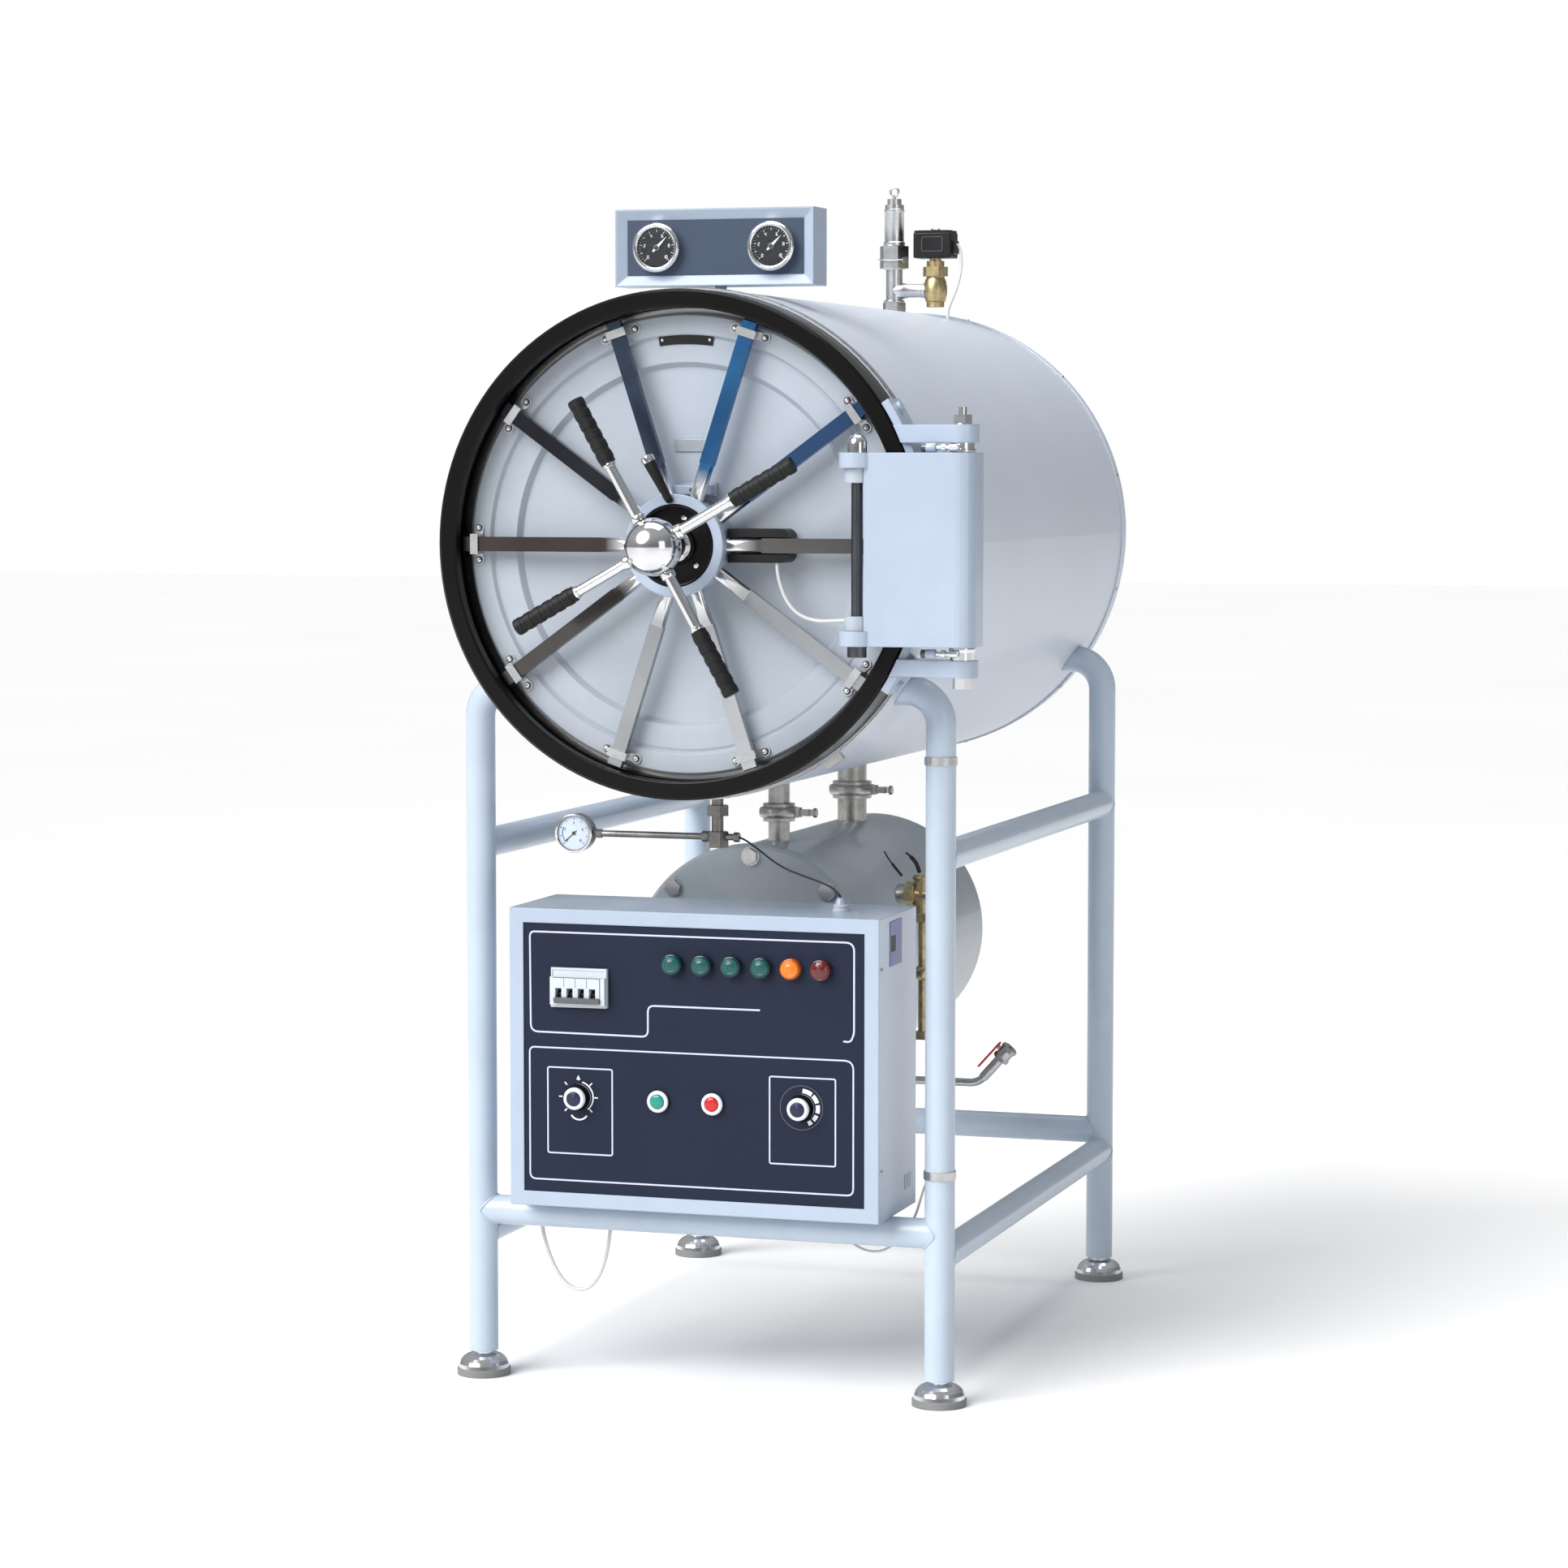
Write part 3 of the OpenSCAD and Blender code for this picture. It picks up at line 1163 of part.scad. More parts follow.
module dial(x) translate([x, gbox_front_y + gbox_bevel, gbox_z + gbox_h / 2]) turn_y([
    [0, -dial_proud + dial_step - dial_boss_r / 2], [dial_boss_r, -dial_proud + dial_step - dial_boss_r / 2],
    [dial_boss_r, -dial_proud + dial_step], [dial_r - dial_rim, -dial_proud + dial_step],
    [dial_r - dial_rim, -dial_proud + over], [dial_r - dial_rim + over, -dial_proud],
    [dial_r - over, -dial_proud], [dial_r, -dial_proud + over], [dial_r, 0],
    [dial_case_r, 0], [dial_case_r, dial_case_len], [0, dial_case_len]]);
module dial_gauges() color("silver") for (s = [-1, 1]) dial(s * dial_x);
module pointer(x) translate([x,
        gbox_front_y + gbox_bevel - dial_proud + dial_step - dial_boss_r / 2 - fit_gap,
        gbox_z + gbox_h / 2]) rotate([0, -pointer_rest, 0]) {
    rod_y(pointer_hub_r, -pointer_t, 0);
    rotate([90, 0, 0]) linear_extrude(pointer_t) polygon([
        [-pointer_tail, -pointer_w / 2], [0, -pointer_w], [pointer_len, 0], [0, pointer_w],
        [-pointer_tail, pointer_w / 2]]);
}
module left_pointer() color("white") pointer(-dial_x);
module right_pointer() color("white") pointer(dial_x);

// Control cabinet
module control_cabinet() color("aliceblue") {
    difference() {
        box(-cab_w / 2, cab_w / 2, cab_front_y, cab_y1, cab_z, cab_z + cab_h);
        box(-cab_w / 2 + cab_t, cab_w / 2 - cab_t, cab_front_y + cab_t, cab_y1 - cab_t,
            cab_z + cab_t, cab_z + cab_h - cab_t);
        box(-cab_w / 2 + cab_border, cab_w / 2 - cab_border, cab_front_y - over, cab_front_y + cab_t + over,
            cab_z + cab_border, cab_z + cab_h - cab_border);
        for (i = [0 : vent_count - 1]) box(cab_w / 2 - cab_t - over, cab_w / 2 + over,
            cab_y1 - vent_in - i * vent_pitch - vent_w, cab_y1 - vent_in - i * vent_pitch,
            cab_z + vent_in, cab_z + vent_in + vent_h);
    }
    translate([gland_x, gland_y, cab_z + cab_h]) {
        rod_z(gland_r, 0, gland_h / 2);
        translate([0, 0, gland_h / 2]) cylinder(r1 = gland_r, r2 = gland_top_r, h = gland_h / 2);
    }
}
module lamp(x) translate([x, panel_y, cab_z + lamp_up]) turn_y([
    [0, -lamp_bezel - lamp_lens], [lamp_lens_r - 2 * over, -lamp_bezel - lamp_lens],
    [lamp_lens_r, -lamp_bezel - lamp_lens + 2 * over], [lamp_lens_r, -lamp_bezel],
    [lamp_d / 2 - over, -lamp_bezel], [lamp_d / 2, -lamp_bezel + over], [lamp_d / 2, 0],
    [lamp_body_r, 0], [lamp_body_r, lamp_body], [0, lamp_body]]);
module indicator_lamps() color("seagreen")
    for (i = [0 : lamp_count - 1]) lamp(lamp_x0 + i * lamp_pitch);
module breaker() color("white") translate([0, panel_y, cab_z + breaker_up]) difference() {
    union() {
        box(breaker_x0, breaker_x1, -breaker_proud, breaker_body, 0, breaker_h);
        box(breaker_x0 + over, breaker_x1 - over, -breaker_proud - breaker_nose, 0,
            breaker_nose_up, breaker_nose_up + breaker_nose_h);
    }
    for (i = [0 : toggle_count - 1]) translate([breaker_x0 + toggle_first + i * toggle_pitch, 0, 0])
        box(-run_gap, toggle_w + run_gap, -breaker_proud - breaker_nose - over, breaker_well,
            toggle_z - toggle_len, toggle_z + toggle_len);
    translate([0, toggle_axis_r - breaker_proud, toggle_z]) rod_x(toggle_bar / 2 + shaft_gap,
        breaker_x0 + toggle_first - over, breaker_x0 + toggle_first + toggle_count * toggle_pitch);
}
module breaker_toggle() color("black")
    translate([0, panel_y - breaker_proud + toggle_axis_r, cab_z + breaker_up + toggle_z]) {
        rod_x(toggle_bar / 2, breaker_x0 + toggle_first,
            breaker_x0 + toggle_first + (toggle_count - 1) * toggle_pitch + toggle_w);
        for (i = [0 : toggle_count - 1]) translate([breaker_x0 + toggle_first + i * toggle_pitch, 0, 0])
            rotate([toggle_tilt, 0, 0]) {
                rod_x(toggle_axis_r, 0, toggle_w);
                box(0, toggle_w, -toggle_reach, 0, -toggle_bar / 2, toggle_bar / 2);
            }
        rotate([toggle_tilt, 0, 0]) box(breaker_x0 + toggle_first, breaker_x1 - toggle_first,
            -toggle_reach, -toggle_reach + tie_t, -tie_w / 2, tie_w / 2);
    }
module knob(x) translate([x, panel_y, cab_z + knob_up]) {
    turn_y([[0, -knob_base_t - knob_len], [knob_d / 2 * knob_grip_share, -knob_base_t - knob_len],
        [knob_d / 2 * knob_grip_share + over, -knob_base_t - knob_len + over],
        [knob_d / 2, -knob_base_t], [knob_base_r, -knob_base_t], [knob_base_r, -fit_gap], [0, -fit_gap]]);
    rod_y(knob_shaft_r, -over, knob_shaft);
}
module timer_knob() color("lightgray") knob(knob_lx);
module thermostat_knob() color("lightgray") knob(knob_rx);
module button(x) translate([x, panel_y, cab_z + button_up]) {
    rod_y(button_cap_r, -button_bezel - button_cap, over);
    rod_y(button_stem_r, 0, button_stem);
}
module button_bezels() color("silver") for (x = [button_gx, button_rx])
    translate([x, panel_y, cab_z + button_up]) difference() {
        union() {
            rod_y(button_d / 2, -button_bezel, 0);
            rod_y(button_sleeve_r, -over, button_stem + button_travel);
        }
        rod_y(button_cap_r + fit_gap, -button_bezel - over, button_travel + 2 * over);
        rod_y(button_stem_r + shaft_gap, 0, button_stem + button_travel + over);
    }
module start_button() color("mediumseagreen") button(button_gx);
module stop_button() color("firebrick") button(button_rx);
module gauge_capillary() color("black") cable(capillary_path, capillary_r);
module cabinet_cables() color("white") {
    cable(mains_path, mains_r);
    cable(earth_path, earth_r);
}
module coil_cable() color("white") cable(coil_path, coil_cable_r);

frame_legs();
frame_rails();
foot_bells();
foot_pads();
strap_bands();
drum_casing();
rear_cover();
mouth_ring();
pressure_vessel();
door_gasket();
hinge_brackets();
outer_hinge_pin();
hinge_arm();
inner_hinge_pin();
door_plate();
hub_collar();
bar_guides();
interlock_switch();
interlock_cable();
handwheel();
hub_cup();
handle_grips();
lock_bar(1);  // lock_bar_1
lock_bar(2);  // lock_bar_2
lock_bar(3);  // lock_bar_3
lock_bar(4);  // lock_bar_4
lock_bar(5);  // lock_bar_5
lock_bar(6);  // lock_bar_6
lock_bar(7);  // lock_bar_7
lock_bar(8);  // lock_bar_8
lock_bar(9);  // lock_bar_9
lock_bar(10);  // lock_bar_10
steam_generator();
heater_flange();
steam_pipes();
drain_pipe();
drain_lever();
safety_valve();
pull_ring();
exhaust_valve();
exhaust_coil();
water_valve();
jacket_gauge();
gauge_box();
face_panels();
dial_gauges();
left_pointer();
right_pointer();
control_cabinet();
indicator_lamps();
breaker();
breaker_toggle();
timer_knob();
thermostat_knob();
button_bezels();
start_button();
stop_button();
gauge_capillary();
cabinet_cables();
coil_cable();
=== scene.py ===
# Horizontal steam steriliser: materials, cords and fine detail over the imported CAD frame
import math

import bmesh
import bpy
from mathutils import Matrix, Vector


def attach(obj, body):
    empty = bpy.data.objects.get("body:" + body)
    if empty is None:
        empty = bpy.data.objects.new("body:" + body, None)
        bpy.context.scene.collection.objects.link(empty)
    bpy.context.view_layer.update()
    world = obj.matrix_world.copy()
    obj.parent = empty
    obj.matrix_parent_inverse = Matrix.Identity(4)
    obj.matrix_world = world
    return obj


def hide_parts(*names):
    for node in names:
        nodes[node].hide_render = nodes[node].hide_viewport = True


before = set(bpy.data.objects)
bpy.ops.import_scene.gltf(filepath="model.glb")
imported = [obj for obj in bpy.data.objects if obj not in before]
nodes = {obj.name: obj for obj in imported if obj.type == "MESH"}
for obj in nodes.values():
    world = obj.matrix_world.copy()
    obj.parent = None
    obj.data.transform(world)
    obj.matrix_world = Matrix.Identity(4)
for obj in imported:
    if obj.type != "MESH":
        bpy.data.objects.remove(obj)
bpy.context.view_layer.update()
scene = bpy.context.scene
MM = 0.001

# Directions: the front faces -Y
OUT = (0, -1, 0)
UP = (0, 0, 1)
DOWN = (0, 0, -1)
RIGHT = (1, 0, 0)
LEFT = (-1, 0, 0)


# Places, in millimetres, from the boxes of the CAD nodes
def low(node):
    """The lowest corner of a node's box."""
    return Vector([min(corner[i] for corner in nodes[node].bound_box) / MM for i in range(3)])


def high(node):
    """The highest corner of a node's box."""
    return Vector([max(corner[i] for corner in nodes[node].bound_box) / MM for i in range(3)])


def middle(node):
    return (low(node) + high(node)) / 2


AXIS_Z = middle("mouth_ring").z
DISH_Y = high("hub_collar").y
PANEL_Y = low("face_panels").y
KNOB_X = {"timer": middle("timer_knob").x, "thermostat": middle("thermostat_knob").x}
KNOB_Z = middle("timer_knob").z
BUTTON_X = {"start": middle("start_button").x, "stop": middle("stop_button").x}
BUTTON_Z = middle("start_button").z
VALVE_Y = middle("safety_valve").y
BAR_COUNT = 10


# A long lens at the photograph's viewing angle, placed in metres
data = bpy.data.cameras.new("camera")
data.lens = 97.0
data.sensor_width = 36.0
data.clip_end = 200.0
camera = bpy.data.objects.new("camera", data)
camera.location = (2.0195, -6.4938, 1.4064)
camera.rotation_euler = (math.radians(85.58), 0.0, math.radians(17.61))
scene.collection.objects.link(camera)
scene.camera = camera


# Materials
def lin(r, g, b):
    """A screen colour, 0 to 255, as linear values."""
    def one(c):
        c /= 255.0
        return c / 12.92 if c <= 0.04045 else ((c + 0.055) / 1.055) ** 2.4
    return (one(r), one(g), one(b))


def shade(colour, k):
    return tuple(min(1.0, max(0.0, x * k)) for x in colour)


def add_node(tree, kind, **inputs):
    """A new shader node, with values for its inputs by name."""
    node = tree.nodes.new("ShaderNode" + kind)
    for name, value in inputs.items():
        node.inputs[name.replace("_", " ")].default_value = value
    return node


def set_stops(node, *stops):
    """The two stops of a colour ramp, each a position and a colour."""
    for element, (position, colour) in zip(node.color_ramp.elements, stops):
        element.position = position
        element.color = (*colour, 1)


def colour_above(tree, place, colour, height, second):
    """The second colour above a height in metres, and the first below it."""
    split = add_node(tree, "SeparateXYZ")
    above = add_node(tree, "Math")
    above.operation = "GREATER_THAN"
    above.inputs[1].default_value = height
    mix = add_node(tree, "Mix")
    mix.data_type = "RGBA"
    mix.inputs["B"].default_value = (*second, 1)
    tree.links.new(place, split.inputs["Vector"])
    tree.links.new(split.outputs["Z"], above.inputs[0])
    tree.links.new(above.outputs[0], mix.inputs["Factor"])
    tree.links.new(colour, mix.inputs["A"])
    return mix.outputs["Result"]


def grimed(tree, place, colour, scale, grime):
    """The colour, darkened in patches."""
    dirt = add_node(tree, "TexNoise", Scale=scale * 4.3, Detail=9.0, Roughness=0.7)
    ramp = add_node(tree, "ValToRGB")
    set_stops(ramp, (0.36, (1 - grime, 1 - grime, 1 - grime * 1.1)), (0.56, (1, 1, 1)))
    mix = add_node(tree, "Mix")
    mix.data_type = "RGBA"
    mix.blend_type = "MULTIPLY"
    mix.inputs["Factor"].default_value = 1.0
    tree.links.new(place, dirt.inputs["Vector"])
    tree.links.new(dirt.outputs["Fac"], ramp.inputs["Fac"])
    tree.links.new(colour, mix.inputs["A"])
    tree.links.new(ramp.outputs["Color"], mix.inputs["B"])
    return mix.outputs["Result"]


def bumped(tree, fine, bump, bevel):
    """A normal with a fine bump, over edges rounded by bevel metres."""
    grain = add_node(tree, "Bump", Strength=bump, Distance=MM)
    tree.links.new(fine.outputs["Fac"], grain.inputs["Height"])
    if bevel > 0:
        rounded = add_node(tree, "Bevel", Radius=bevel)
        rounded.samples = 4
        tree.links.new(rounded.outputs["Normal"], grain.inputs["Normal"])
    return grain.outputs["Normal"]


def material(name, rgb, rough=0.35, metal=0.0, coat=0.0, var=0.06, scale=3.0, bump=0.03, grain=300.0,
             rough_var=0.06, stretch=None, grime=0.0, spec=0.5, bevel=0.0, upper=None):
    """Cloudy colour, uneven roughness and a fine bump. The upper pair is a height in metres and the
    colour above it."""
    m = bpy.data.materials.new(name)
    m.use_nodes = True
    tree = m.node_tree
    link = tree.links.new
    for node in list(tree.nodes):
        tree.nodes.remove(node)
    out = add_node(tree, "OutputMaterial")
    bsdf = add_node(tree, "BsdfPrincipled", Metallic=metal, Coat_Weight=coat, Coat_Roughness=0.08,
                    Specular_IOR_Level=spec)
    link(bsdf.outputs["BSDF"], out.inputs["Surface"])
    place = add_node(tree, "TexCoord").outputs["Object"]
    cloud = add_node(tree, "TexNoise", Scale=scale, Detail=5.0)
    link(place, cloud.inputs["Vector"])
    ramp = add_node(tree, "ValToRGB")
    set_stops(ramp, (0.3, shade(rgb, 1 - var)), (0.7, shade(rgb, 1 + var)))
    link(cloud.outputs["Fac"], ramp.inputs["Fac"])
    colour = ramp.outputs["Color"]
    if upper is not None:
        colour = colour_above(tree, place, colour, *upper)
    if grime > 0:
        colour = grimed(tree, place, colour, scale, grime)
    link(colour, bsdf.inputs["Base Color"])
    fine = add_node(tree, "TexNoise", Scale=grain, Detail=3.0)
    if stretch is not None:
        mapping = add_node(tree, "Mapping", Scale=stretch)
        link(place, mapping.inputs["Vector"])
        link(mapping.outputs["Vector"], fine.inputs["Vector"])
    else:
        link(place, fine.inputs["Vector"])
    dull = min(1.0, rough + rough_var)
    spread = add_node(tree, "MapRange", To_Min=max(0.02, rough - rough_var), To_Max=dull)
    link((fine if stretch is not None else cloud).outputs["Fac"], spread.inputs["Value"])
    link(spread.outputs["Result"], bsdf.inputs["Roughness"])
    if bump > 0:
        link(bumped(tree, fine, bump, bevel), bsdf.inputs["Normal"])
    m.diffuse_color = (*rgb, 1)
    return m


def glass(name, rgb, alpha):
    """A thin clear cover with a slightly uneven gloss."""
    m = bpy.data.materials.new(name)
    m.use_nodes = True
    tree = m.node_tree
    bsdf = tree.nodes["Principled BSDF"]
    noise = add_node(tree, "TexNoise", Scale=40.0)
    spread = add_node(tree, "MapRange", To_Min=0.02, To_Max=0.08)
    tree.links.new(noise.outputs["Fac"], spread.inputs["Value"])
    tree.links.new(spread.outputs["Result"], bsdf.inputs["Roughness"])
    bsdf.inputs["Base Color"].default_value = (*rgb, 1)
    bsdf.inputs["Alpha"].default_value = alpha
    bsdf.inputs["Specular IOR Level"].default_value = 0.12
    return m


def moulded(name, rgb, rough, coat, var):
    """A glossy coloured plastic."""
    return material(name, rgb, rough, coat=coat, var=var, scale=60, grain=500)


def printed(name, rgb, var):
    """Matt ink or a printed face."""
    return material(name, rgb, 0.5, var=var, scale=60, bump=0.02, grain=900)


# The looks: colours, roughness and grain by material
M = {
    "frame": material("frame paint", lin(180, 193, 208), 0.34, coat=0.25, var=0.035, scale=2.5, grain=420,
        grime=0.05, bevel=0.002),
    "white": material("white paint", lin(166, 179, 197), 0.32, coat=0.3, var=0.03, scale=4, grain=450,
        grime=0.03, bevel=0.003),
    "drum": material("drum paint", lin(196, 204, 216), 0.44, coat=0.08, var=0.02, scale=1.6, bump=0.015,
        grain=380, grime=0.02),
    "door": material("door paint", lin(172, 181, 192), 0.36, coat=0.25, var=0.035, grain=420, grime=0.05,
        bevel=0.002),
    "grey": material("generator paint", lin(168, 175, 181), 0.36, coat=0.25, var=0.05, bump=0.04, grain=380,
        grime=0.08, bevel=0.002),
    "black": material("black enamel", (0.0030, 0.0024, 0.0024), 0.3, coat=0.05, var=0.2, scale=5, grain=260,
        rough_var=0.07, spec=0.16),
    "panel": material("slate panel", lin(17, 28, 50), 0.5, var=0.05, scale=6, grain=900,
        upper=(1.0, lin(64, 76, 94)), rough_var=0.04, spec=0.25),
    "chrome": material("polished steel", (0.76, 0.76, 0.77), 0.14, metal=1.0, var=0.03, scale=8, bump=0.01,
        grain=120, rough_var=0.04),
    "steel": material("brushed steel", (0.56, 0.56, 0.55), 0.3, metal=1.0, var=0.08, scale=10, bump=0.05,
        stretch=(1.0, 1.0, 0.06), rough_var=0.1, grime=0.12),
    "vessel": material("turned steel", (0.62, 0.62, 0.61), 0.32, metal=1.0, scale=4, bump=0.04,
        stretch=(1.0, 0.05, 1.0), rough_var=0.1),
    "pipe": material("stained steel pipe", (0.46, 0.45, 0.42), 0.34, metal=1.0, var=0.12, scale=14, bump=0.08,
        grain=200, rough_var=0.12, grime=0.25),
    "gun": material("weathered fitting", (0.22, 0.21, 0.20), 0.3, metal=1.0, var=0.2, scale=30, bump=0.06,
        rough_var=0.1, grime=0.2),
    "dark": material("dark steel", (0.10, 0.11, 0.12), 0.3, metal=1.0, var=0.15, scale=10, bump=0.04,
        grain=260, rough_var=0.08),
    "brass": material("cast brass", (0.50, 0.40, 0.22), 0.36, metal=1.0, var=0.15, scale=24, bump=0.16,
        grain=500, rough_var=0.12, grime=0.35),
    "silver": material("plated casting", (0.60, 0.61, 0.62), 0.28, metal=1.0, var=0.08, scale=20, bump=0.08,
        grain=420, rough_var=0.1, grime=0.1),
    "rubber": material("pad rubber", lin(120, 122, 122), 0.6, var=0.1, scale=20, bump=0.1, grain=500),
    "grip": material("grip rubber", (0.006, 0.006, 0.0065), 0.5, var=0.3, scale=30, bump=0.25, grain=700,
        spec=0.3),
    "gasket": material("gasket silicone", lin(150, 92, 74), 0.5, var=0.08, scale=10, bump=0.05),
    "plastic": material("black plastic", (0.006, 0.006, 0.007), 0.42, var=0.2, scale=20, bump=0.12, grain=800,
        spec=0.3),
    "ivory": material("white plastic", lin(196, 204, 212), 0.32, var=0.03, scale=20, bump=0.04, grain=600,
        bevel=0.0008),
    "greycap": material("grey plastic", lin(92, 94, 97), 0.4, var=0.05, scale=20, bump=0.05, grain=600),
    "ring": material("knob ring", lin(226, 229, 236), 0.26, coat=0.3, var=0.03, scale=30),
    "navy": material("navy cap", lin(14, 18, 56), 0.35, coat=0.2, var=0.08, scale=60, bump=0.05, grain=800),
    "green": moulded("green plastic", lin(14, 140, 124), 0.28, 0.4, 0.06),
    "red": moulded("red plastic", lin(190, 18, 14), 0.28, 0.4, 0.06),
    "teal_lens": material("teal lens", lin(10, 78, 78), 0.3, coat=0.2, var=0.12, scale=120, bump=0.08),
    "teal_bezel": moulded("teal bezel", lin(8, 46, 52), 0.3, 0.3, 0.1),
    "amber_lens": material("amber lens", lin(238, 120, 24), 0.3, coat=0.2, var=0.1, scale=120, bump=0.06),
    "amber_bezel": moulded("amber bezel", lin(170, 74, 12), 0.3, 0.3, 0.1),
    "ruby_lens": material("ruby lens", lin(92, 16, 14), 0.2, coat=0.5, var=0.25, scale=140, bump=0.15),
    "ruby_bezel": moulded("ruby bezel", lin(78, 22, 18), 0.3, 0.3, 0.1),
    "print": printed("printed line", lin(196, 200, 220), 0.04),
    "dial_black": material("black dial", lin(9, 10, 18), 0.6, var=0.08, scale=60, bump=0.0, spec=0.08),
    "dial_white": printed("white dial", lin(198, 209, 222), 0.02),
    "ink": printed("dial ink", lin(22, 24, 30), 0.05),
    "blue_ink": printed("blue ink", lin(58, 84, 150), 0.05),
    "white_ink": printed("white ink", lin(236, 238, 244), 0.03),
    "cable": material("white cable", lin(206, 208, 206), 0.45, var=0.04, scale=40, bump=0.05, grain=700),
    "black_cable": material("black cable", (0.012, 0.012, 0.013), 0.45, var=0.2, scale=60, bump=0.05,
        grain=700),
    "plate": material("bare plate", lin(176, 182, 190), 0.34, metal=0.7, scale=30, bump=0.04, grain=400,
        stretch=(0.1, 1.0, 1.0)),
    "blue_plate": material("blue plate", lin(58, 66, 140), 0.35, coat=0.2, scale=30, grain=400),
    "glass": glass("gauge glass", (0.9, 0.95, 1.0), 0.04),
    "floor": material("studio floor", (0.945, 0.947, 0.95), 0.75, var=0.01, scale=0.4, bump=0.0),
}
# Painted reflection on each locking bar beyond its polished end: a colour for what its flat faces reflect
BAR_REFLECTION_TONES = {
    1: (0.16, 0.15, 0.15), 2: (0.05, 0.11, 0.24), 3: (0.05, 0.20, 0.46), 4: (0.08, 0.11, 0.17),
    5: (0.035, 0.037, 0.045), 6: (0.085, 0.066, 0.062), 7: (0.10, 0.095, 0.09), 8: (0.40, 0.42, 0.43),
    9: (0.52, 0.54, 0.56), 10: (0.42, 0.44, 0.46),
}


def bar_material(k):
    """A locking bar: polished near the hub, and a painted reflection further out."""
    fade_start = 92
    fade_end = 118
    bright = (0.78, 0.78, 0.79, 1)
    m = material(f"bar steel with painted reflection {k}", BAR_REFLECTION_TONES[k], 0.2, metal=0.9, var=0.12, scale=9, grain=260, rough_var=0.07)
    tree = m.node_tree
    link = tree.links.new
    bsdf = tree.nodes["Principled BSDF"]
    place = tree.nodes["Texture Coordinate"].outputs["Object"]
    # The bar's painted reflection colour, blended in beyond the polished end
    reflection_tone = bsdf.inputs["Base Color"].links[0].from_socket
    away = add_node(tree, "VectorMath")
    away.operation = "SUBTRACT"
    away.inputs[1].default_value = (0.0, 0.0, AXIS_Z * MM)
    flat = add_node(tree, "VectorMath")
    flat.operation = "MULTIPLY"
    flat.inputs[1].default_value = (1.0, 0.0, 1.0)
    distance = add_node(tree, "VectorMath")
    distance.operation = "LENGTH"
    ramp = add_node(tree, "MapRange", From_Min=fade_start * MM, From_Max=fade_end * MM)
    mix = add_node(tree, "Mix")
    mix.data_type = "RGBA"
    mix.inputs["A"].default_value = bright
    link(place, away.inputs[0])
    link(away.outputs[0], flat.inputs[0])
    link(flat.outputs[0], distance.inputs[0])
    link(distance.outputs["Value"], ramp.inputs["Value"])
    link(ramp.outputs["Result"], mix.inputs["Factor"])
    link(reflection_tone, mix.inputs["B"])
    link(mix.outputs["Result"], bsdf.inputs["Base Color"])
    return m


# Which CAD nodes wear which material
CAD_LOOKS = {
    "frame": "frame_legs frame_rails",
    "chrome": "foot_bells outer_hinge_pin handwheel dial_gauges button_bezels",
    "gun": "jacket_gauge",
    "rubber": "foot_pads",
    "steel": "strap_bands drain_pipe",
    "drum": "drum_casing rear_cover",
    "black": "mouth_ring hub_cup",
    "vessel": "pressure_vessel",
    "gasket": "door_gasket",
    "white": "hinge_brackets hinge_arm control_cabinet gauge_box hub_collar",
    "dark": "inner_hinge_pin",
    "door": "door_plate",
    "plastic": "interlock_switch exhaust_coil breaker_toggle",
    "cable": "interlock_cable cabinet_cables coil_cable",
    "black_cable": "gauge_capillary",
    "grip": "handle_grips",
    "grey": "steam_generator heater_flange",
    "pipe": "steam_pipes",
    "red": "drain_lever stop_button",
    "silver": "safety_valve pull_ring bar_guides",
    "brass": "exhaust_valve water_valve",
    "panel": "face_panels",
    "white_ink": "left_pointer right_pointer",
    "teal_bezel": "indicator_lamps",
    "ivory": "breaker",
    "ring": "timer_knob thermostat_knob",
    "green": "start_button",
}


def dress(node, look):
    materials = nodes[node].data.materials
    materials.clear()
    materials.append(look)


for key, names in CAD_LOOKS.items():
    for name in names.split():
        dress(name, M[key])
for k in range(1, BAR_COUNT + 1):
    dress(f"lock_bar_{k}", bar_material(k))


# Mesh helpers, in millimetres
def basis(origin, z_axis=OUT, x_hint=UP):
    """A frame at origin with its Z along z_axis and its X near x_hint."""
    z = Vector(z_axis).normalized()
    x = Vector(x_hint)
    if abs(x.normalized().dot(z)) > 0.98:
        x = Vector(RIGHT)
    y = z.cross(x).normalized()
    x = y.cross(z).normalized()
    m = Matrix((x, y, z)).transposed().to_4x4()
    m.translation = Vector(origin)
    return m


def face_plane(x, y, z):
    """Local x is +X, local y is +Z, local z points out of a front face, towards -Y."""
    m = Matrix(((1, 0, 0), (0, 0, -1), (0, 1, 0))).to_4x4()
    m.translation = Vector((x, y, z))
    return m


def polar(r, degrees):
    a = math.radians(degrees)
    return (r * math.cos(a), r * math.sin(a))


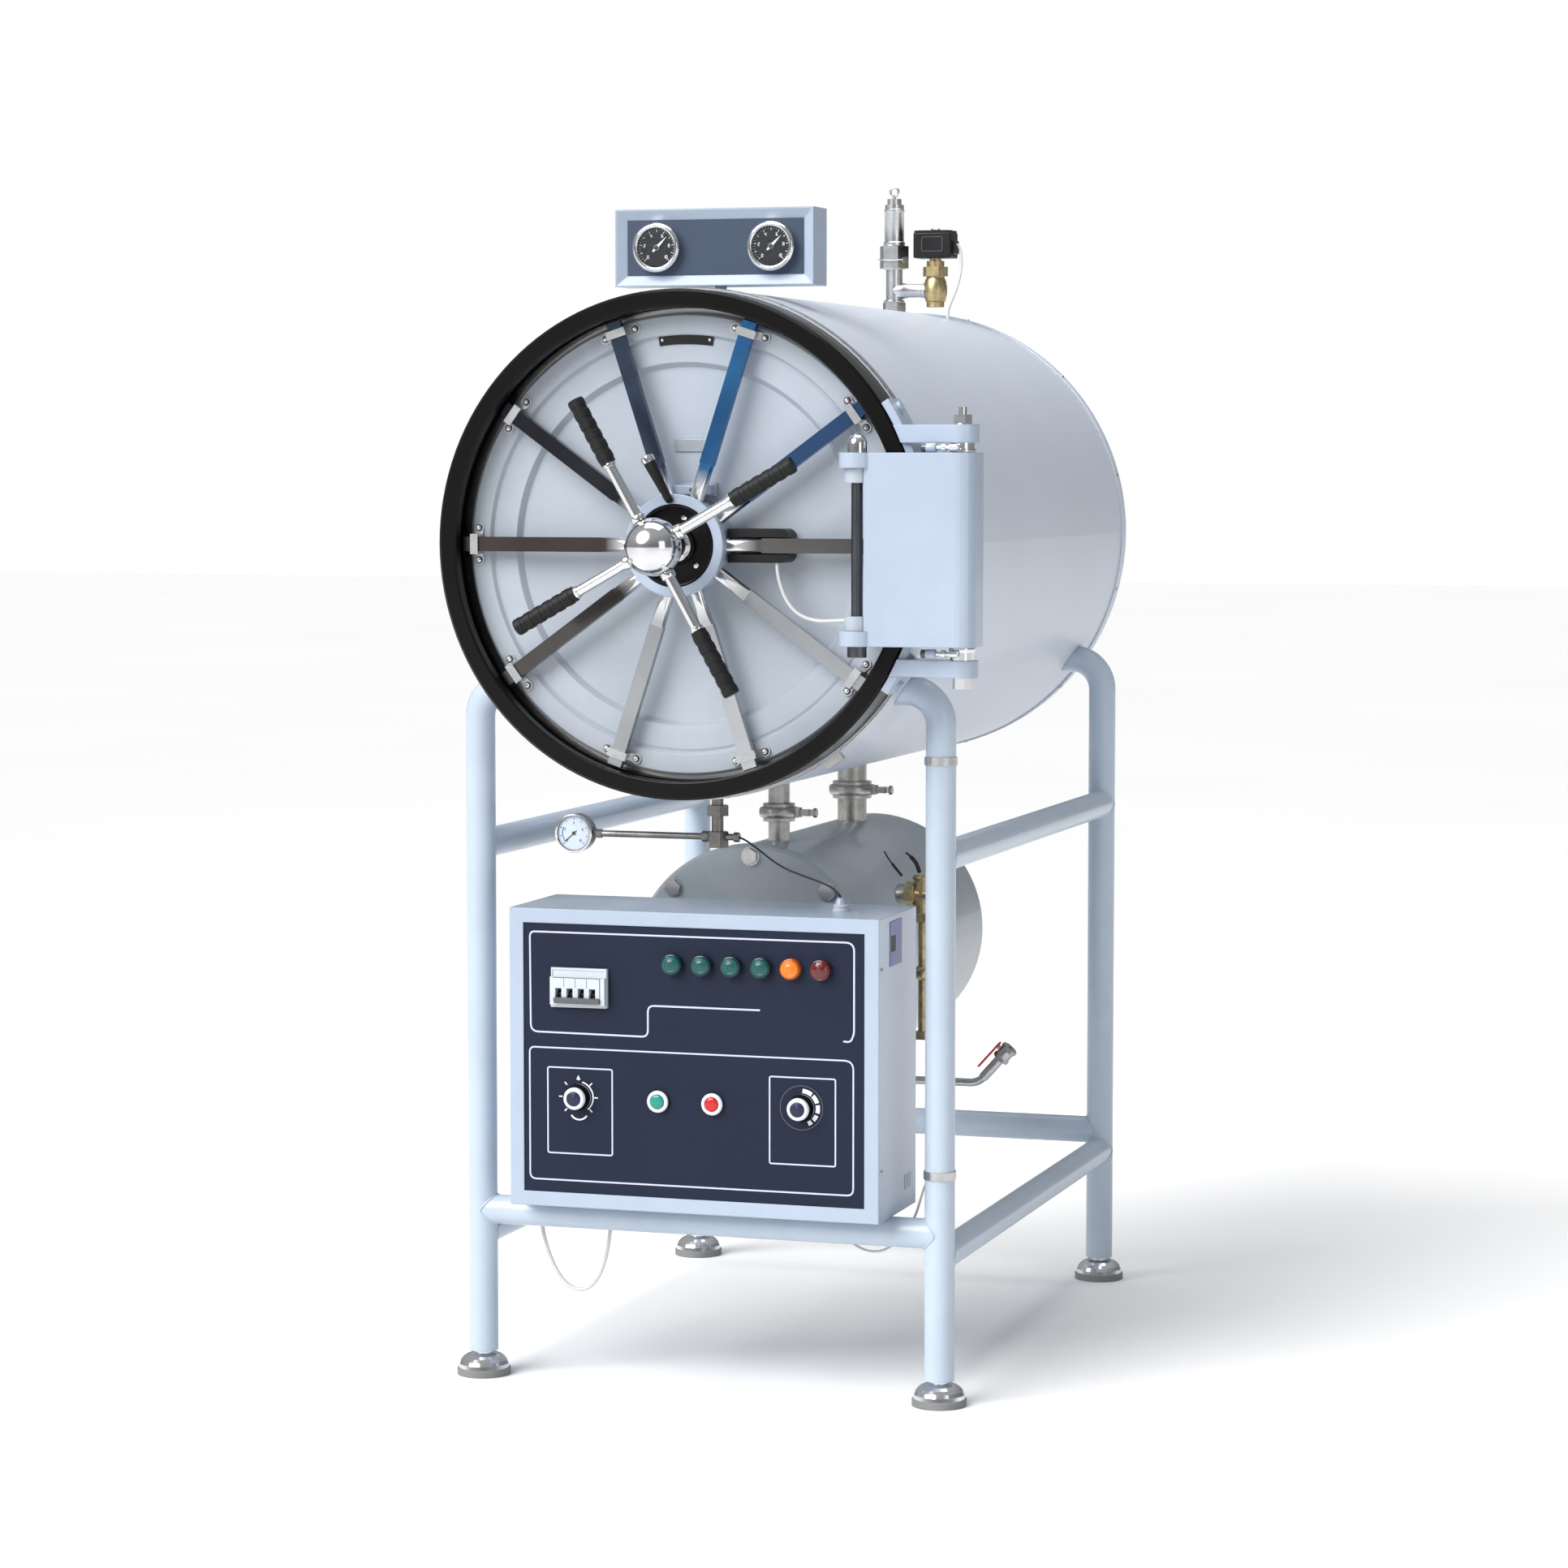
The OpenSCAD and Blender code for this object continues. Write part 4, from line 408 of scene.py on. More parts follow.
class Bits:
    """Collects shapes in millimetres and makes one object of them."""

    def __init__(self):
        self.v = []
        self.f = []
        self.m = []

    def add(self, verts, faces, mi=0, at=None):
        n = len(self.v)
        self.v += [tuple(at @ Vector(p)) if at is not None else tuple(p) for p in verts]
        self.f += [[n + i for i in f] for f in faces]
        self.m += [mi] * len(faces)

    def lathe(self, profile, at, seg=32, mi=0):
        """Points of radius and height turned about the local Z."""
        on_axis = 1e-6
        verts = []
        faces = []
        n = len(profile)
        for i in range(seg):
            a = 2 * math.pi * i / seg
            verts += [(r * math.cos(a), r * math.sin(a), h) for r, h in profile]
        for i in range(seg):
            j = (i + 1) % seg
            for k in range(n - 1):
                if profile[k][0] >= on_axis or profile[k + 1][0] >= on_axis:
                    faces.append([i * n + k, j * n + k, j * n + k + 1, i * n + k + 1])
        self.add(verts, faces, mi, at)

    def box(self, lo, hi, mi=0, at=None):
        verts = [(x, y, z) for z in (lo[2], hi[2]) for y in (lo[1], hi[1]) for x in (lo[0], hi[0])]
        faces = [[0, 2, 3, 1], [4, 5, 7, 6], [0, 1, 5, 4], [1, 3, 7, 5], [3, 2, 6, 7], [2, 0, 4, 6]]
        self.add(verts, faces, mi, at)

    def prism(self, outline, h0, h1, at=None, mi=0):
        n = len(outline)
        verts = [(x, y, h0) for x, y in outline] + [(x, y, h1) for x, y in outline]
        faces = [list(range(n))[::-1], list(range(n, 2 * n))]
        faces += [[i, (i + 1) % n, n + (i + 1) % n, n + i] for i in range(n)]
        self.add(verts, faces, mi, at)

    def hexagon(self, flats, h0, h1, at, mi=0):
        """A hexagon of a width across flats, with its edges broken."""
        edge = 0.6
        r = flats / math.sqrt(3)
        verts = []
        faces = []
        for rr, h in ((r - edge, h0), (r, h0 + edge), (r, h1 - edge), (r - edge, h1)):
            verts += [(*polar(rr, 60 * i), h) for i in range(6)]
        for k in range(3):
            for i in range(6):
                j = (i + 1) % 6
                faces.append([k * 6 + i, k * 6 + j, (k + 1) * 6 + j, (k + 1) * 6 + i])
        faces += [list(range(6))[::-1], [18 + i for i in range(6)]]
        self.add(verts, faces, mi, at)

    def ribbon(self, pts, width, depth, at=None, mi=0, closed=False):
        """A flat strip along 2D points, standing depth proud."""
        n = len(pts)
        verts = []
        faces = []
        for i, p in enumerate(pts):
            a = pts[(i - 1) % n] if closed or i > 0 else p
            b = pts[(i + 1) % n] if closed or i < n - 1 else p
            d = Vector((b[0] - a[0], b[1] - a[1])).normalized()
            k = 1.0
            if closed or 0 < i < n - 1:
                d1 = Vector((p[0] - a[0], p[1] - a[1])).normalized()
                k = 1.0 / max(0.5, d.dot(d1))
            nx = -d.y * width / 2 * k
            ny = d.x * width / 2 * k
            verts += [(p[0] + nx, p[1] + ny, 0), (p[0] + nx, p[1] + ny, depth),
                      (p[0] - nx, p[1] - ny, depth), (p[0] - nx, p[1] - ny, 0)]
        for i in range(n if closed else n - 1):
            j = (i + 1) % n
            for k in range(3):
                faces.append([i * 4 + k, i * 4 + k + 1, j * 4 + k + 1, j * 4 + k])
        if not closed:
            faces += [[0, 3, 2, 1], [(n - 1) * 4 + q for q in range(4)]]
        self.add(verts, faces, mi, at)

    def tube(self, pts, r, sides=10, mi=0, caps=True):
        """A round tube along points, with one radius or a radius for each point."""
        pts = [Vector(p) for p in pts]
        n = len(pts)
        verts = []
        faces = []
        side = None
        for i, p in enumerate(pts):
            d = (pts[min(i + 1, n - 1)] - pts[max(i - 1, 0)]).normalized()
            if side is None:
                side = d.orthogonal().normalized()
            side = (side - d * side.dot(d)).normalized()
            up = d.cross(side)
            rr = r[i] if isinstance(r, (list, tuple)) else r
            for k in range(sides):
                a = 2 * math.pi * k / sides
                verts.append(tuple(p + rr * (math.cos(a) * side + math.sin(a) * up)))
        for i in range(n - 1):
            for k in range(sides):
                j = (k + 1) % sides
                faces.append([i * sides + k, i * sides + j, (i + 1) * sides + j, (i + 1) * sides + k])
        if caps:
            faces += [list(range(sides))[::-1], [(n - 1) * sides + k for k in range(sides)]]
        self.add(verts, faces, mi)

    def make(self, name, body, mats, angle=35, bevel=0.0, segments=2):
        """The object: its edges sharp above an angle in degrees, or rounded by bevel millimetres."""
        same_place = 1e-6
        me = bpy.data.meshes.new(name)
        me.from_pydata([(x * MM, y * MM, z * MM) for x, y, z in self.v], [], self.f)
        for mat in mats:
            me.materials.append(M[mat])
        me.polygons.foreach_set("material_index", self.m)
        bm = bmesh.new()
        bm.from_mesh(me)
        bmesh.ops.remove_doubles(bm, verts=bm.verts, dist=same_place)
        bmesh.ops.recalc_face_normals(bm, faces=bm.faces)
        bm.to_mesh(me)
        bm.free()
        me.polygons.foreach_set("use_smooth", [True] * len(me.polygons))
        me.set_sharp_from_angle(angle=math.radians(angle))
        o = bpy.data.objects.new(name, me)
        scene.collection.objects.link(o)
        if bevel > 0:
            rounding = o.modifiers.new("round", "BEVEL")
            rounding.width = bevel * MM
            rounding.segments = segments
            rounding.limit_method = "ANGLE"
            rounding.angle_limit = math.radians(40)
        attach(o, body)
        return o


def corner_path(points, radius, closed=False, steps=6):
    """2D points with each corner rounded."""
    out = []
    n = len(points)
    for i, p in enumerate(points):
        if not closed and i in (0, n - 1):
            out.append(p)
            continue
        a = Vector(points[(i - 1) % n])
        b = Vector(points[(i + 1) % n])
        q = Vector(p)
        r = radius[i] if isinstance(radius, (list, tuple)) else radius
        r = min(r, (a - q).length * 0.49, (b - q).length * 0.49)
        start = q + (a - q).normalized() * r
        end = q + (b - q).normalized() * r
        for k in range(steps + 1):
            t = k / steps
            out.append(tuple((1 - t) ** 2 * start + 2 * t * (1 - t) * q + t * t * end))
    return out


def smooth_path(points, per=5):
    """Catmull-Rom points through a route."""
    p = [Vector(q) for q in points]
    out = []
    for i in range(len(p) - 1):
        p0, p1, p2, p3 = p[max(i - 1, 0)], p[i], p[i + 1], p[min(i + 2, len(p) - 1)]
        for k in range(per):
            t = k / per
            out.append(0.5 * ((2 * p1) + (p2 - p0) * t + (2 * p0 - 5 * p1 + 4 * p2 - p3) * t * t
                              + (3 * p1 - p0 - 3 * p2 + p3) * t ** 3))
    out.append(p[-1])
    return out


# Cords: each runs through given points, in millimetres
def cord(name, route, r, node, body, mat):
    pts = [p * MM for p in smooth_path(route)]
    cu = bpy.data.curves.new(name, "CURVE")
    cu.dimensions = "3D"
    sp = cu.splines.new("POLY")
    sp.points.add(len(pts) - 1)
    for i, p in enumerate(pts):
        sp.points[i].co = (*p, 1)
    sp.use_smooth = True
    cu.bevel_depth = r * MM
    cu.bevel_resolution = 4
    cu.use_fill_caps = True
    cu.materials.append(M[mat])
    o = bpy.data.objects.new(name, cu)
    scene.collection.objects.link(o)
    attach(o, body)
    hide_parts(node)


INTERLOCK = [[146, -624, 1253], [147, -625, 1240], [152, -626, 1220], [161, -627, 1200],
    [174, -628, 1184], [191, -629, 1174], [210, -631, 1170], [230, -634, 1170], [248, -636, 1171],
    [262, -637, 1171.5], [269.8, -637, 1171.5]]
CAPILLARY = [[30.3, -463, 835], [37, -463, 834], [48, -464, 829], [62, -465, 820], [78, -467, 809],
    [95, -469, 798], [112, -472, 790], [130, -475, 784], [150, -478, 778], [170, -481, 772],
    [185, -484, 766], [195, -486, 759], [200, -486, 754], [201, -486, 751.4]]
MAINS = [[-282, -470, 279], [-283, -470, 262], [-284, -470, 240], [-281, -470, 215],
    [-274, -470, 190], [-264, -470, 166], [-251, -470, 146], [-236, -470, 134], [-219, -470, 131],
    [-203, -470, 138], [-191, -470, 153], [-182, -470, 174], [-176, -470, 198], [-172, -470, 225],
    [-170, -470, 252], [-170, -470, 279]]
EARTH = [[200, -470, 279], [201, -470, 262], [205, -470, 244], [213, -470, 231], [225, -470, 222],
    [240, -470, 217], [256, -470, 217], [270, -470, 222], [283, -470, 232], [296, -471, 246],
    [308, -473, 262], [317, -476, 280], [324, -479, 300], [330, -481, 318], [337, -482, 333],
    [346, -482, 343], [356.1, -482, 346]]
COIL = [[106, 492, 1768], [111, 492, 1767], [116, 491, 1761], [119, 489, 1750], [120, 487, 1736],
        [119, 485, 1720], [116, 483, 1704], [112, 482, 1690], [107, 482, 1678], [102, 483, 1667],
        [98, 484, 1656], [97, 485, 1641.6]]
cord("interlock_cord", INTERLOCK, 2.75, "interlock_cable", "door", "cable")
cord("gauge_line", CAPILLARY, 1.5, "gauge_capillary", "stand", "black_cable")
cord("mains_loop", MAINS, 3.0, "cabinet_cables", "stand", "cable")
cord("earth_wire", EARTH, 2.0, "cabinet_cables", "stand", "cable")
cord("coil_lead", COIL, 2.5, "coil_cable", "stand", "cable")


# Turned profiles are lists of radius and height along the axis, in millimetres
def turned(name, body, profile, at, seg, look, angle=35):
    """A piece of one turned profile."""
    b = Bits()
    b.lathe(profile, at, seg)
    b.make(name, body, [look], angle)


def spoke(angle, y, r, t=0.0):
    """A point at radius r and offset t along the tangent, at an angle above +X about the drum's axis."""
    c, s = polar(1, angle)
    return (r * c - t * s, y, AXIS_Z + r * s + t * c)


# Two screws with washers on the foot of each bar's guide
foot_y = high("bar_guides").y - 3
screw_r = 325
screw_off = 24.15
twist = 0.3
washer = [(0, 0), (5.4, 0), (5.6, 0.4), (5.2, 0.9), (3.6, 1.1)]
stud = [(0, 3.6), (2.3, 3.6), (2.3, 5.2), (1.6, 5.7), (0, 5.8)]
b = Bits()
for k in range(BAR_COUNT):
    for s in (-1, 1):
        at = basis(spoke(360 / BAR_COUNT * k, foot_y, screw_r, s * screw_off), OUT, (1, 0, twist * k))
        b.lathe(washer, at, 20, 1)
        b.hexagon(flats=7.6, h0=0.9, h1=3.9, at=at)
        b.lathe(stud, at, 14)
b.make("guide_screws", "door", ["chrome", "dark"])

# The tapered black peg and its bright end
c, s = polar(1, 118.5)
at = basis((-5, -670, 1344.5), (c, 0, s))
cap = [(0, 61.8), (9.4, 62), (10.1, 62.8), (10.1, 69), (9.4, 71.4), (6.4, 73.0), (0, 73.6)]
cover = [(0, -0.4), (5.3, -0.3), (5.6, 0.4), (9.2, 60.5), (8.8, 62.0), (0, 62.1)]
turned("peg_cap", "door", cap, at, 32, "chrome")
turned("peg_cover", "door", cover, at, 32, "plastic")

# The bare black plate on the door's rim, with its two rivets
rim_y = DISH_Y - 12.3
inner_r = 294
outer_r = 311
rivet_r = 302
half_angle = 8
rivet = [(0, 0), (2.6, 0), (2.4, 0.9), (1.4, 1.5), (0, 1.7)]
turns = range(-half_angle, half_angle + 1)
outline = [polar(inner_r, 90 - a) for a in turns] + [polar(outer_r, 90 + a) for a in turns]
b = Bits()
b.prism(outline, h0=0, h1=1.6, at=face_plane(0, rim_y, AXIS_Z))
for a in (97, 83):
    b.lathe(rivet, basis(spoke(a, rim_y - 1.5, rivet_r)), 16, 1)
b.make("door_plate_blank", "door", ["plastic", "steel"], bevel=0.4)

# The bare plate in the dished middle, and the bracket behind the hub
bracket_y = DISH_Y - 28
back_y = DISH_Y - 0.5
bolt = [(0, 0), (4.5, 0), (4.5, 2.2), (3.4, 3.2), (0, 3.4)]
b = Bits()
b.box((-22, DISH_Y - 2.6, 1415), (42, DISH_Y - 1.4, 1433))
b.make("dish_plate_blank", "door", ["plate"], bevel=0.3)
b = Bits()
b.box((-16, bracket_y, 1352), (40, back_y, 1366))
b.box((-20, DISH_Y - 4, 1349), (44, back_y, 1370))
b.lathe(bolt, basis((14, bracket_y, 1359)), 20, 1)
b.make("hub_bracket", "door", ["white", "chrome"], bevel=1.2)

# The spindle's ring, the cup's screws, the handles' collars and the polished ball
cup_y = low("hub_cup").y
screw_r = 42
ball_r = 42
ball_y = low("handwheel").y + ball_r
skin = 0.12
first_handle = 29.5
handle_count = 4
ring = [(19.6, 0), (24.0, 0), (24.4, 1.0), (23.6, 2.2), (19.6, 2.4)]
screw = [(0, 0), (4.4, 0), (4.4, 1.6), (3.2, 2.6), (0, 2.8)]
root = (41.0, [(8.0, 0), (10.8, 0.6), (11.2, 3), (11.2, 8), (10.4, 9.5), (8.0, 10)])
grip = (131.5, [(8.0, 0), (9.6, 0.6), (9.8, 5), (9.4, 6), (8.0, 6.2)])
b = Bits()
b.lathe(ring, basis((0, cup_y + 6.5, AXIS_Z)), 56)
for a in (75, 195, 315):
    b.lathe(screw, basis(spoke(a, cup_y + 13.5, screw_r)), 20)
b.make("cup_trim", "wheel", ["chrome"])
b = Bits()
for k in range(handle_count):
    a = first_handle + 360 / handle_count * k
    c, s = polar(1, a)
    for r, collar in (root, grip):
        b.lathe(collar, basis(spoke(a, ball_y, r), (c, 0, s)), 32)
b.make("handle_collars", "wheel", ["chrome"])
turns = [math.radians(q) for q in range(0, 181, 4)]
meridian = [((ball_r + skin) * math.sin(q), (ball_r + skin) * math.cos(q)) for q in turns]
turned("ball_cover", "wheel", meridian, basis((0, ball_y, AXIS_Z)), 72, "chrome", 80)

# The inner pin's bright cap, and the bosses and cross bolts between the arm and its brackets
arm_top = high("hinge_arm").z
arm_foot = low("hinge_arm").z
inner = (high("inner_hinge_pin").x - 14, middle("inner_hinge_pin").y)
outer = (middle("outer_hinge_pin").x, middle("outer_hinge_pin").y)
bolt_place = (388, -681)
bolt_out = 7.05
cap = [(14.2, -0.5), (14.2, 12.2), (13.4, 17.2), (11.0, 21.8), (7.0, 25.0), (3.0, 26.1), (0, 26.3)]
nut_washer = [(0, 0), (12.6, 0), (12.8, 0.8), (12.4, 1.8), (0, 2.0)]
nut_z = 1453.1
bolt = [(0, 14), (3.4, 14.2), (3.4, 22), (5.6, 22.4), (5.6, 28), (3.2, 28.4), (3.2, 34), (5.2, 34.4),
        (5.2, 45), (4.4, 46), (0, 46.2)]
head = [(0, -8.2), (5.2, -8), (6.2, -7), (6.2, -1), (0, -0.8)]
boss = [(0, -1), (6.2, -0.8), (6.7, 0.2), (6.7, 13), (6.2, 14), (0, 14.2)]
turned("pin_cap", "swing_arm", cap, basis((*inner, arm_top + 0.05), UP), 40, "chrome", 80)
b = Bits()
for z, way, h in ((arm_top + 0.15, UP, 4.4), (arm_foot - 0.15, DOWN, 7.4)):
    washer = [(17.2, 0.4), (18.6, 0.6), (18.9, 1.6), (18.9, h), (18.4, h + 1), (17.2, h + 1.2)]
    b.lathe(washer, basis((*outer, z), way), 40)
b.lathe(nut_washer, basis((*outer, nut_z), UP), 32)
for z in (arm_top + bolt_out, arm_foot - bolt_out - 3.1):
    at = basis((*bolt_place, z), RIGHT)
    b.lathe(bolt, at, 24)
    b.lathe(head, at, 24, 1)
    b.lathe(boss, at, 24, 2)
b.make("pin_washers", "stand", ["chrome", "dark", "white"])

# Gauges: angles run from 225 degrees at nought to -45 at the end of the scale
SCALE_FROM = 225
SCALE_TO = -45
INK_H = 0.25
GAUGE_X = high("dial_gauges").x - 36.5
SEGMENTS = {"0": "abcdef", "1": "bc", "2": "abged", "3": "abgcd", "4": "fgbc", "5": "afgcd", "6": "afgedc",
    "7": "abc", "8": "abcdefg", "9": "abcdfg"}
SEGMENT_LINES = {"a": ((0, 2), (1, 2)), "b": ((1, 2), (1, 1)), "c": ((1, 1), (1, 0)), "d": ((0, 0), (1, 0)),
    "e": ((0, 1), (0, 0)), "f": ((0, 2), (0, 1)), "g": ((0, 1), (1, 1))}


def ticks(bits, at, r0, r1, count, w):
    for i in range(count):
        a = SCALE_FROM + (SCALE_TO - SCALE_FROM) * i / (count - 1)
        bits.ribbon([polar(r0, a), polar(r1, a)], w, INK_H, at, 1)


def arc_pts(r, a0, a1, n):
    return [polar(r, a0 + (a1 - a0) * i / n) for i in range(n + 1)]


def digits(bits, at, centre, word, h, w):
    """Plain stroked numbers of height h, centred."""
    pitch = h * 0.78
    half = h * 0.5
    x = centre[0] - pitch * (len(word) - 1) / 2
    y = centre[1]
    for ch in word:
        for s in SEGMENTS[ch]:
            line = [(x + (px - 0.5) * half, y + (py - 1) * half) for px, py in SEGMENT_LINES[s]]
            bits.ribbon(line, w, INK_H, at, 1)
        x += pitch


def numbers(bits, at, r, last, h, w):
    """Every second number of a scale from nought to last."""
    for i in range(0, last + 1, 2):
        a = SCALE_FROM + (SCALE_TO - SCALE_FROM) * i / last
        digits(bits, at, polar(r, a), str(i), h, w)


def add_dial(side, x):
    """One of the two dials on the gauge box: face, glass, bezel and the pointer's boss."""
    y = low("dial_gauges").y
    z = middle("dial_gauges").z
    face = [(3.2, 0.0), (30.8, 0.0), (30.8, 0.3), (3.2, 0.3)]
    dome = [(31.0, 0), (26, 1.2), (16, 2.2), (0, 2.6)]
    bezel = [(29.0, -2.6), (29.4, 0.6), (30.6, 1.8), (33.0, 2.2), (34.8, 1.4), (35.8, -0.6), (35.6, -3.0)]
    boss = [(0, 0), (3.6, 0), (3.6, 0.9), (2.6, 1.3), (0, 1.4)]
    face_y = y + 5.95
    b = Bits()
    b.lathe(face, basis((x, face_y, z)), 64)
    at = face_plane(x, face_y - INK_H, z)
    ticks(b, at, 23.6, 27.6, 11, 0.9)
    ticks(b, at, 26.0, 27.6, 31, 0.4)
    numbers(b, at, 19.6, 10, 4.4, 0.7)
    b.make(f"{side}_dial_face", "stand", ["dial_black", "white_ink"])
    turned(f"{side}_dial_glass", "stand", dome, basis((x, y + 1.4, z)), 48, "glass", 80)
    turned(f"{side}_dial_bezel", "stand", bezel, basis((x, y + 0.4, z)), 64, "chrome", 80)
    turned(f"{side}_pointer_boss", f"{side}_needle", boss, basis((x, y + 3.5, z)), 24, "ink")


add_dial("left", -GAUGE_X)
add_dial("right", GAUGE_X)

# The white dial on the jacket's pipe, its drawn pointer, and the nuts along the pipe
pipe_y = middle("jacket_gauge").y
x = -228
z = 835
face_y = pipe_y - 9
ink_y = face_y - 0.3
pointer = 222
face = [(0, 0), (25.8, 0), (25.8, 0.3), (0, 0.3)]
boss = [(0, 0.7), (2.8, 0.7), (2.8, 1.2), (0, 1.5)]
dome = [(26.0, 0), (22, 1.0), (14, 1.8), (0, 2.1)]
bezel = [(26.4, 0), (29.4, 0), (30.2, 1.4), (29.6, 2.6), (27.4, 3.0), (26.4, 2.2)]
b = Bits()
b.lathe(face, basis((x, face_y, z)), 56)
at = face_plane(x, ink_y, z)
ticks(b, at, 20.0, 24.0, 9, 0.8)
ticks(b, at, 22.4, 24.0, 41, 0.35)
b.ribbon(arc_pts(18.5, SCALE_FROM, 150, 16), 1.6, 0.2, at, 2)
numbers(b, at, 15.4, 8, 3.6, 0.6)
b.ribbon([polar(-6, pointer), polar(19, pointer)], 1.4, 0.6, at, 1)
b.lathe(boss, basis((x, ink_y, z)), 20, 1)
b.make("small_dial_face", "stand", ["dial_white", "ink", "blue_ink"])
turned("small_dial_glass", "stand", dome, basis((x, face_y - 2.4, z)), 40, "glass", 80)
b = Bits()
b.lathe(bezel, basis((x, face_y - 1, z)), 56)
for nut_x, flats, width in ((-195, 12, 10), (-24, 15, 12), (26, 13, 9)):
    b.hexagon(flats, 0, width, basis((nut_x, pipe_y, z), RIGHT), 1)
b.make("small_gauge_trim", "stand", ["chrome", "gun"])

# The cabinet's printed lines and the marks round its two knobs
line_h = 0.3
at = face_plane(0, PANEL_Y, 0)
upper = [(235, 549), (246, 548), (251.5, 560), (251.5, 695.5), (-258, 695.5), (-257, 544), (-70, 543),
         (-70, 590), (106, 590)]
upper_radii = [0, 6, 8, 13, 8, 12, 10, 10, 0]
lower = [(-259, 320), (250.5, 320), (250.5, 520.5), (-259, 520.5)]
lower_radii = [10, 10, 14, 8]
fields = ([(-230, 361), (-127, 361), (-127, 491), (-230, 491)],
          [(121, 362), (223, 362), (223, 492), (121, 492)])
mark = [(-3.2, 26.5), (3.2, 26.5), (0, 33.5)]
b = Bits()
b.ribbon(corner_path(upper, upper_radii), 2.6, line_h, at)
b.ribbon(corner_path(lower, lower_radii, True), 2.4, line_h, at, closed=True)
for field in fields:
    b.ribbon(corner_path(field, 3, True, 3), 2.2, line_h, at, closed=True)
left = face_plane(KNOB_X["timer"], PANEL_Y, KNOB_Z)
for a in (90, 45, 0, -45, 180, 135, 225):
    b.ribbon([polar(25.5, a), polar(31, a)], 1.8, line_h, left, 1)
b.prism(mark, 0, 0.35, left, 1)
b.ribbon(arc_pts(23.6, 75, -50, 20), 2.0, line_h, left, 1)
b.ribbon(arc_pts(15.0, 215, 325, 12), 2.4, line_h, face_plane(KNOB_X["timer"] + 1, PANEL_Y, 428), 1)
right = face_plane(KNOB_X["thermostat"], PANEL_Y, KNOB_Z)
b.ribbon(arc_pts(33, 0, 360, 48)[:-1], 0.9, line_h, right, 2, closed=True)
for a0, a1 in ((86, 52), (46, 18), (11, -16), (-24, -44), (-52, -66)):
    b.ribbon(arc_pts(25.5, a0, a1, 8), 6.4, line_h, right, 1)
b.make("panel_print", "stand", ["print", "white_ink", "greycap"], angle=30)


def faceted_lens(bits, at):
    """The ruby lamp's cut lens: three rings of triangles and a flat top."""
    rings = ((13.8, 11.6), (13.0, 13.6), (8.4, 16.2), (3.8, 17.2))
    n = 10
    for k in range(len(rings) - 1):
        verts = []
        for q in (k, k + 1):
            r, h = rings[q]
            verts += [(*polar(r, 360 * (j + 0.5 * (q % 2)) / n), h) for j in range(n)]
        faces = []
        for j in range(n):
            jj = (j + 1) % n
            if k % 2 == 0:
                faces += [[j, jj, n + j], [jj, n + jj, n + j]]
            else:
                faces += [[j, n + jj, n + j], [j, jj, n + jj]]
        if k == len(rings) - 2:
            faces.append([n + j for j in range(n)])
        bits.add(verts, faces, 0, at)


# A row of four teal lamps, an amber and a ruby one
lamp_r = 13.5
pitch = 46.3
colours = ["teal"] * 4 + ["amber", "ruby"]
first_x = high("indicator_lamps").x - lamp_r - pitch * (len(colours) - 1)
bezel = [(15.6, 0), (15.8, 2.2), (15.9, 10.4), (15.2, 12.2), (13.9, 12.9), (12.8, 12.4)]
lens = [(13.5, 11.8), (13.3, 14.0), (12.0, 15.4), (9.2, 16.0), (8.5, 15.6), (7.8, 16.1), (3.8, 16.7),
        (3.1, 16.2), (2.5, 16.7), (0, 16.8)]
for i, colour in enumerate(colours):
    at = basis((first_x + pitch * i, PANEL_Y, middle("indicator_lamps").z))
    b = Bits()
    b.lathe(bezel, at, 40, 1)
    if colour == "ruby":
        faceted_lens(b, at)
    else:
        b.lathe(lens, at, 32, 0)
    o = b.make(f"lamp_{i + 1}", "stand", [f"{colour}_lens", f"{colour}_bezel"],
               angle=10 if colour == "ruby" else 35)
    if i == 0:
        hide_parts("indicator_lamps")


def add_knob_cap(body):
    """A selector knob: dark skirt with ribs, white front ring, navy cap and a pointer line."""
    x = KNOB_X[body]
    rib_count = 28
    skirt = [(15.6, 2.4), (19.6, 2.6), (20.3, 3.4), (19.6, 4.4), (16.6, 5.0)]
    side = [(16.6, 4.4), (16.3, 15.2)]
    ring = [(15.8, 14.8), (16.9, 15.4), (17.1, 17.0), (16.8, 19.4), (15.6, 21.4), (13.6, 22.3), (11.6, 22.3),
            (11.2, 21.0)]
    cap = [(11.3, 20.6), (10.9, 22.0), (9.8, 22.5), (0, 22.6)]
    at = basis((x, PANEL_Y, KNOB_Z))
    b = Bits()
    b.lathe(skirt, at, 48, 3)
    b.lathe(side, at, 48, 3)
    b.lathe(ring, at, 48, 0)
    b.lathe(cap, at, 40, 1)
    b.ribbon([(0, 2.0), (0, 9.4)], 1.3, 0.5, face_plane(x, PANEL_Y - 22.5, KNOB_Z), 2)
    for k in range(rib_count):
        a = 360 * k / rib_count
        b.tube([at @ Vector((*polar(16.5, a), 6.0)), at @ Vector((*polar(16.1, a), 15.4))], 0.5, 6, 3)
    b.make(f"{body}_cap", body, ["ring", "navy", "blue_ink", "dial_black"])


add_knob_cap("timer")
add_knob_cap("thermostat")

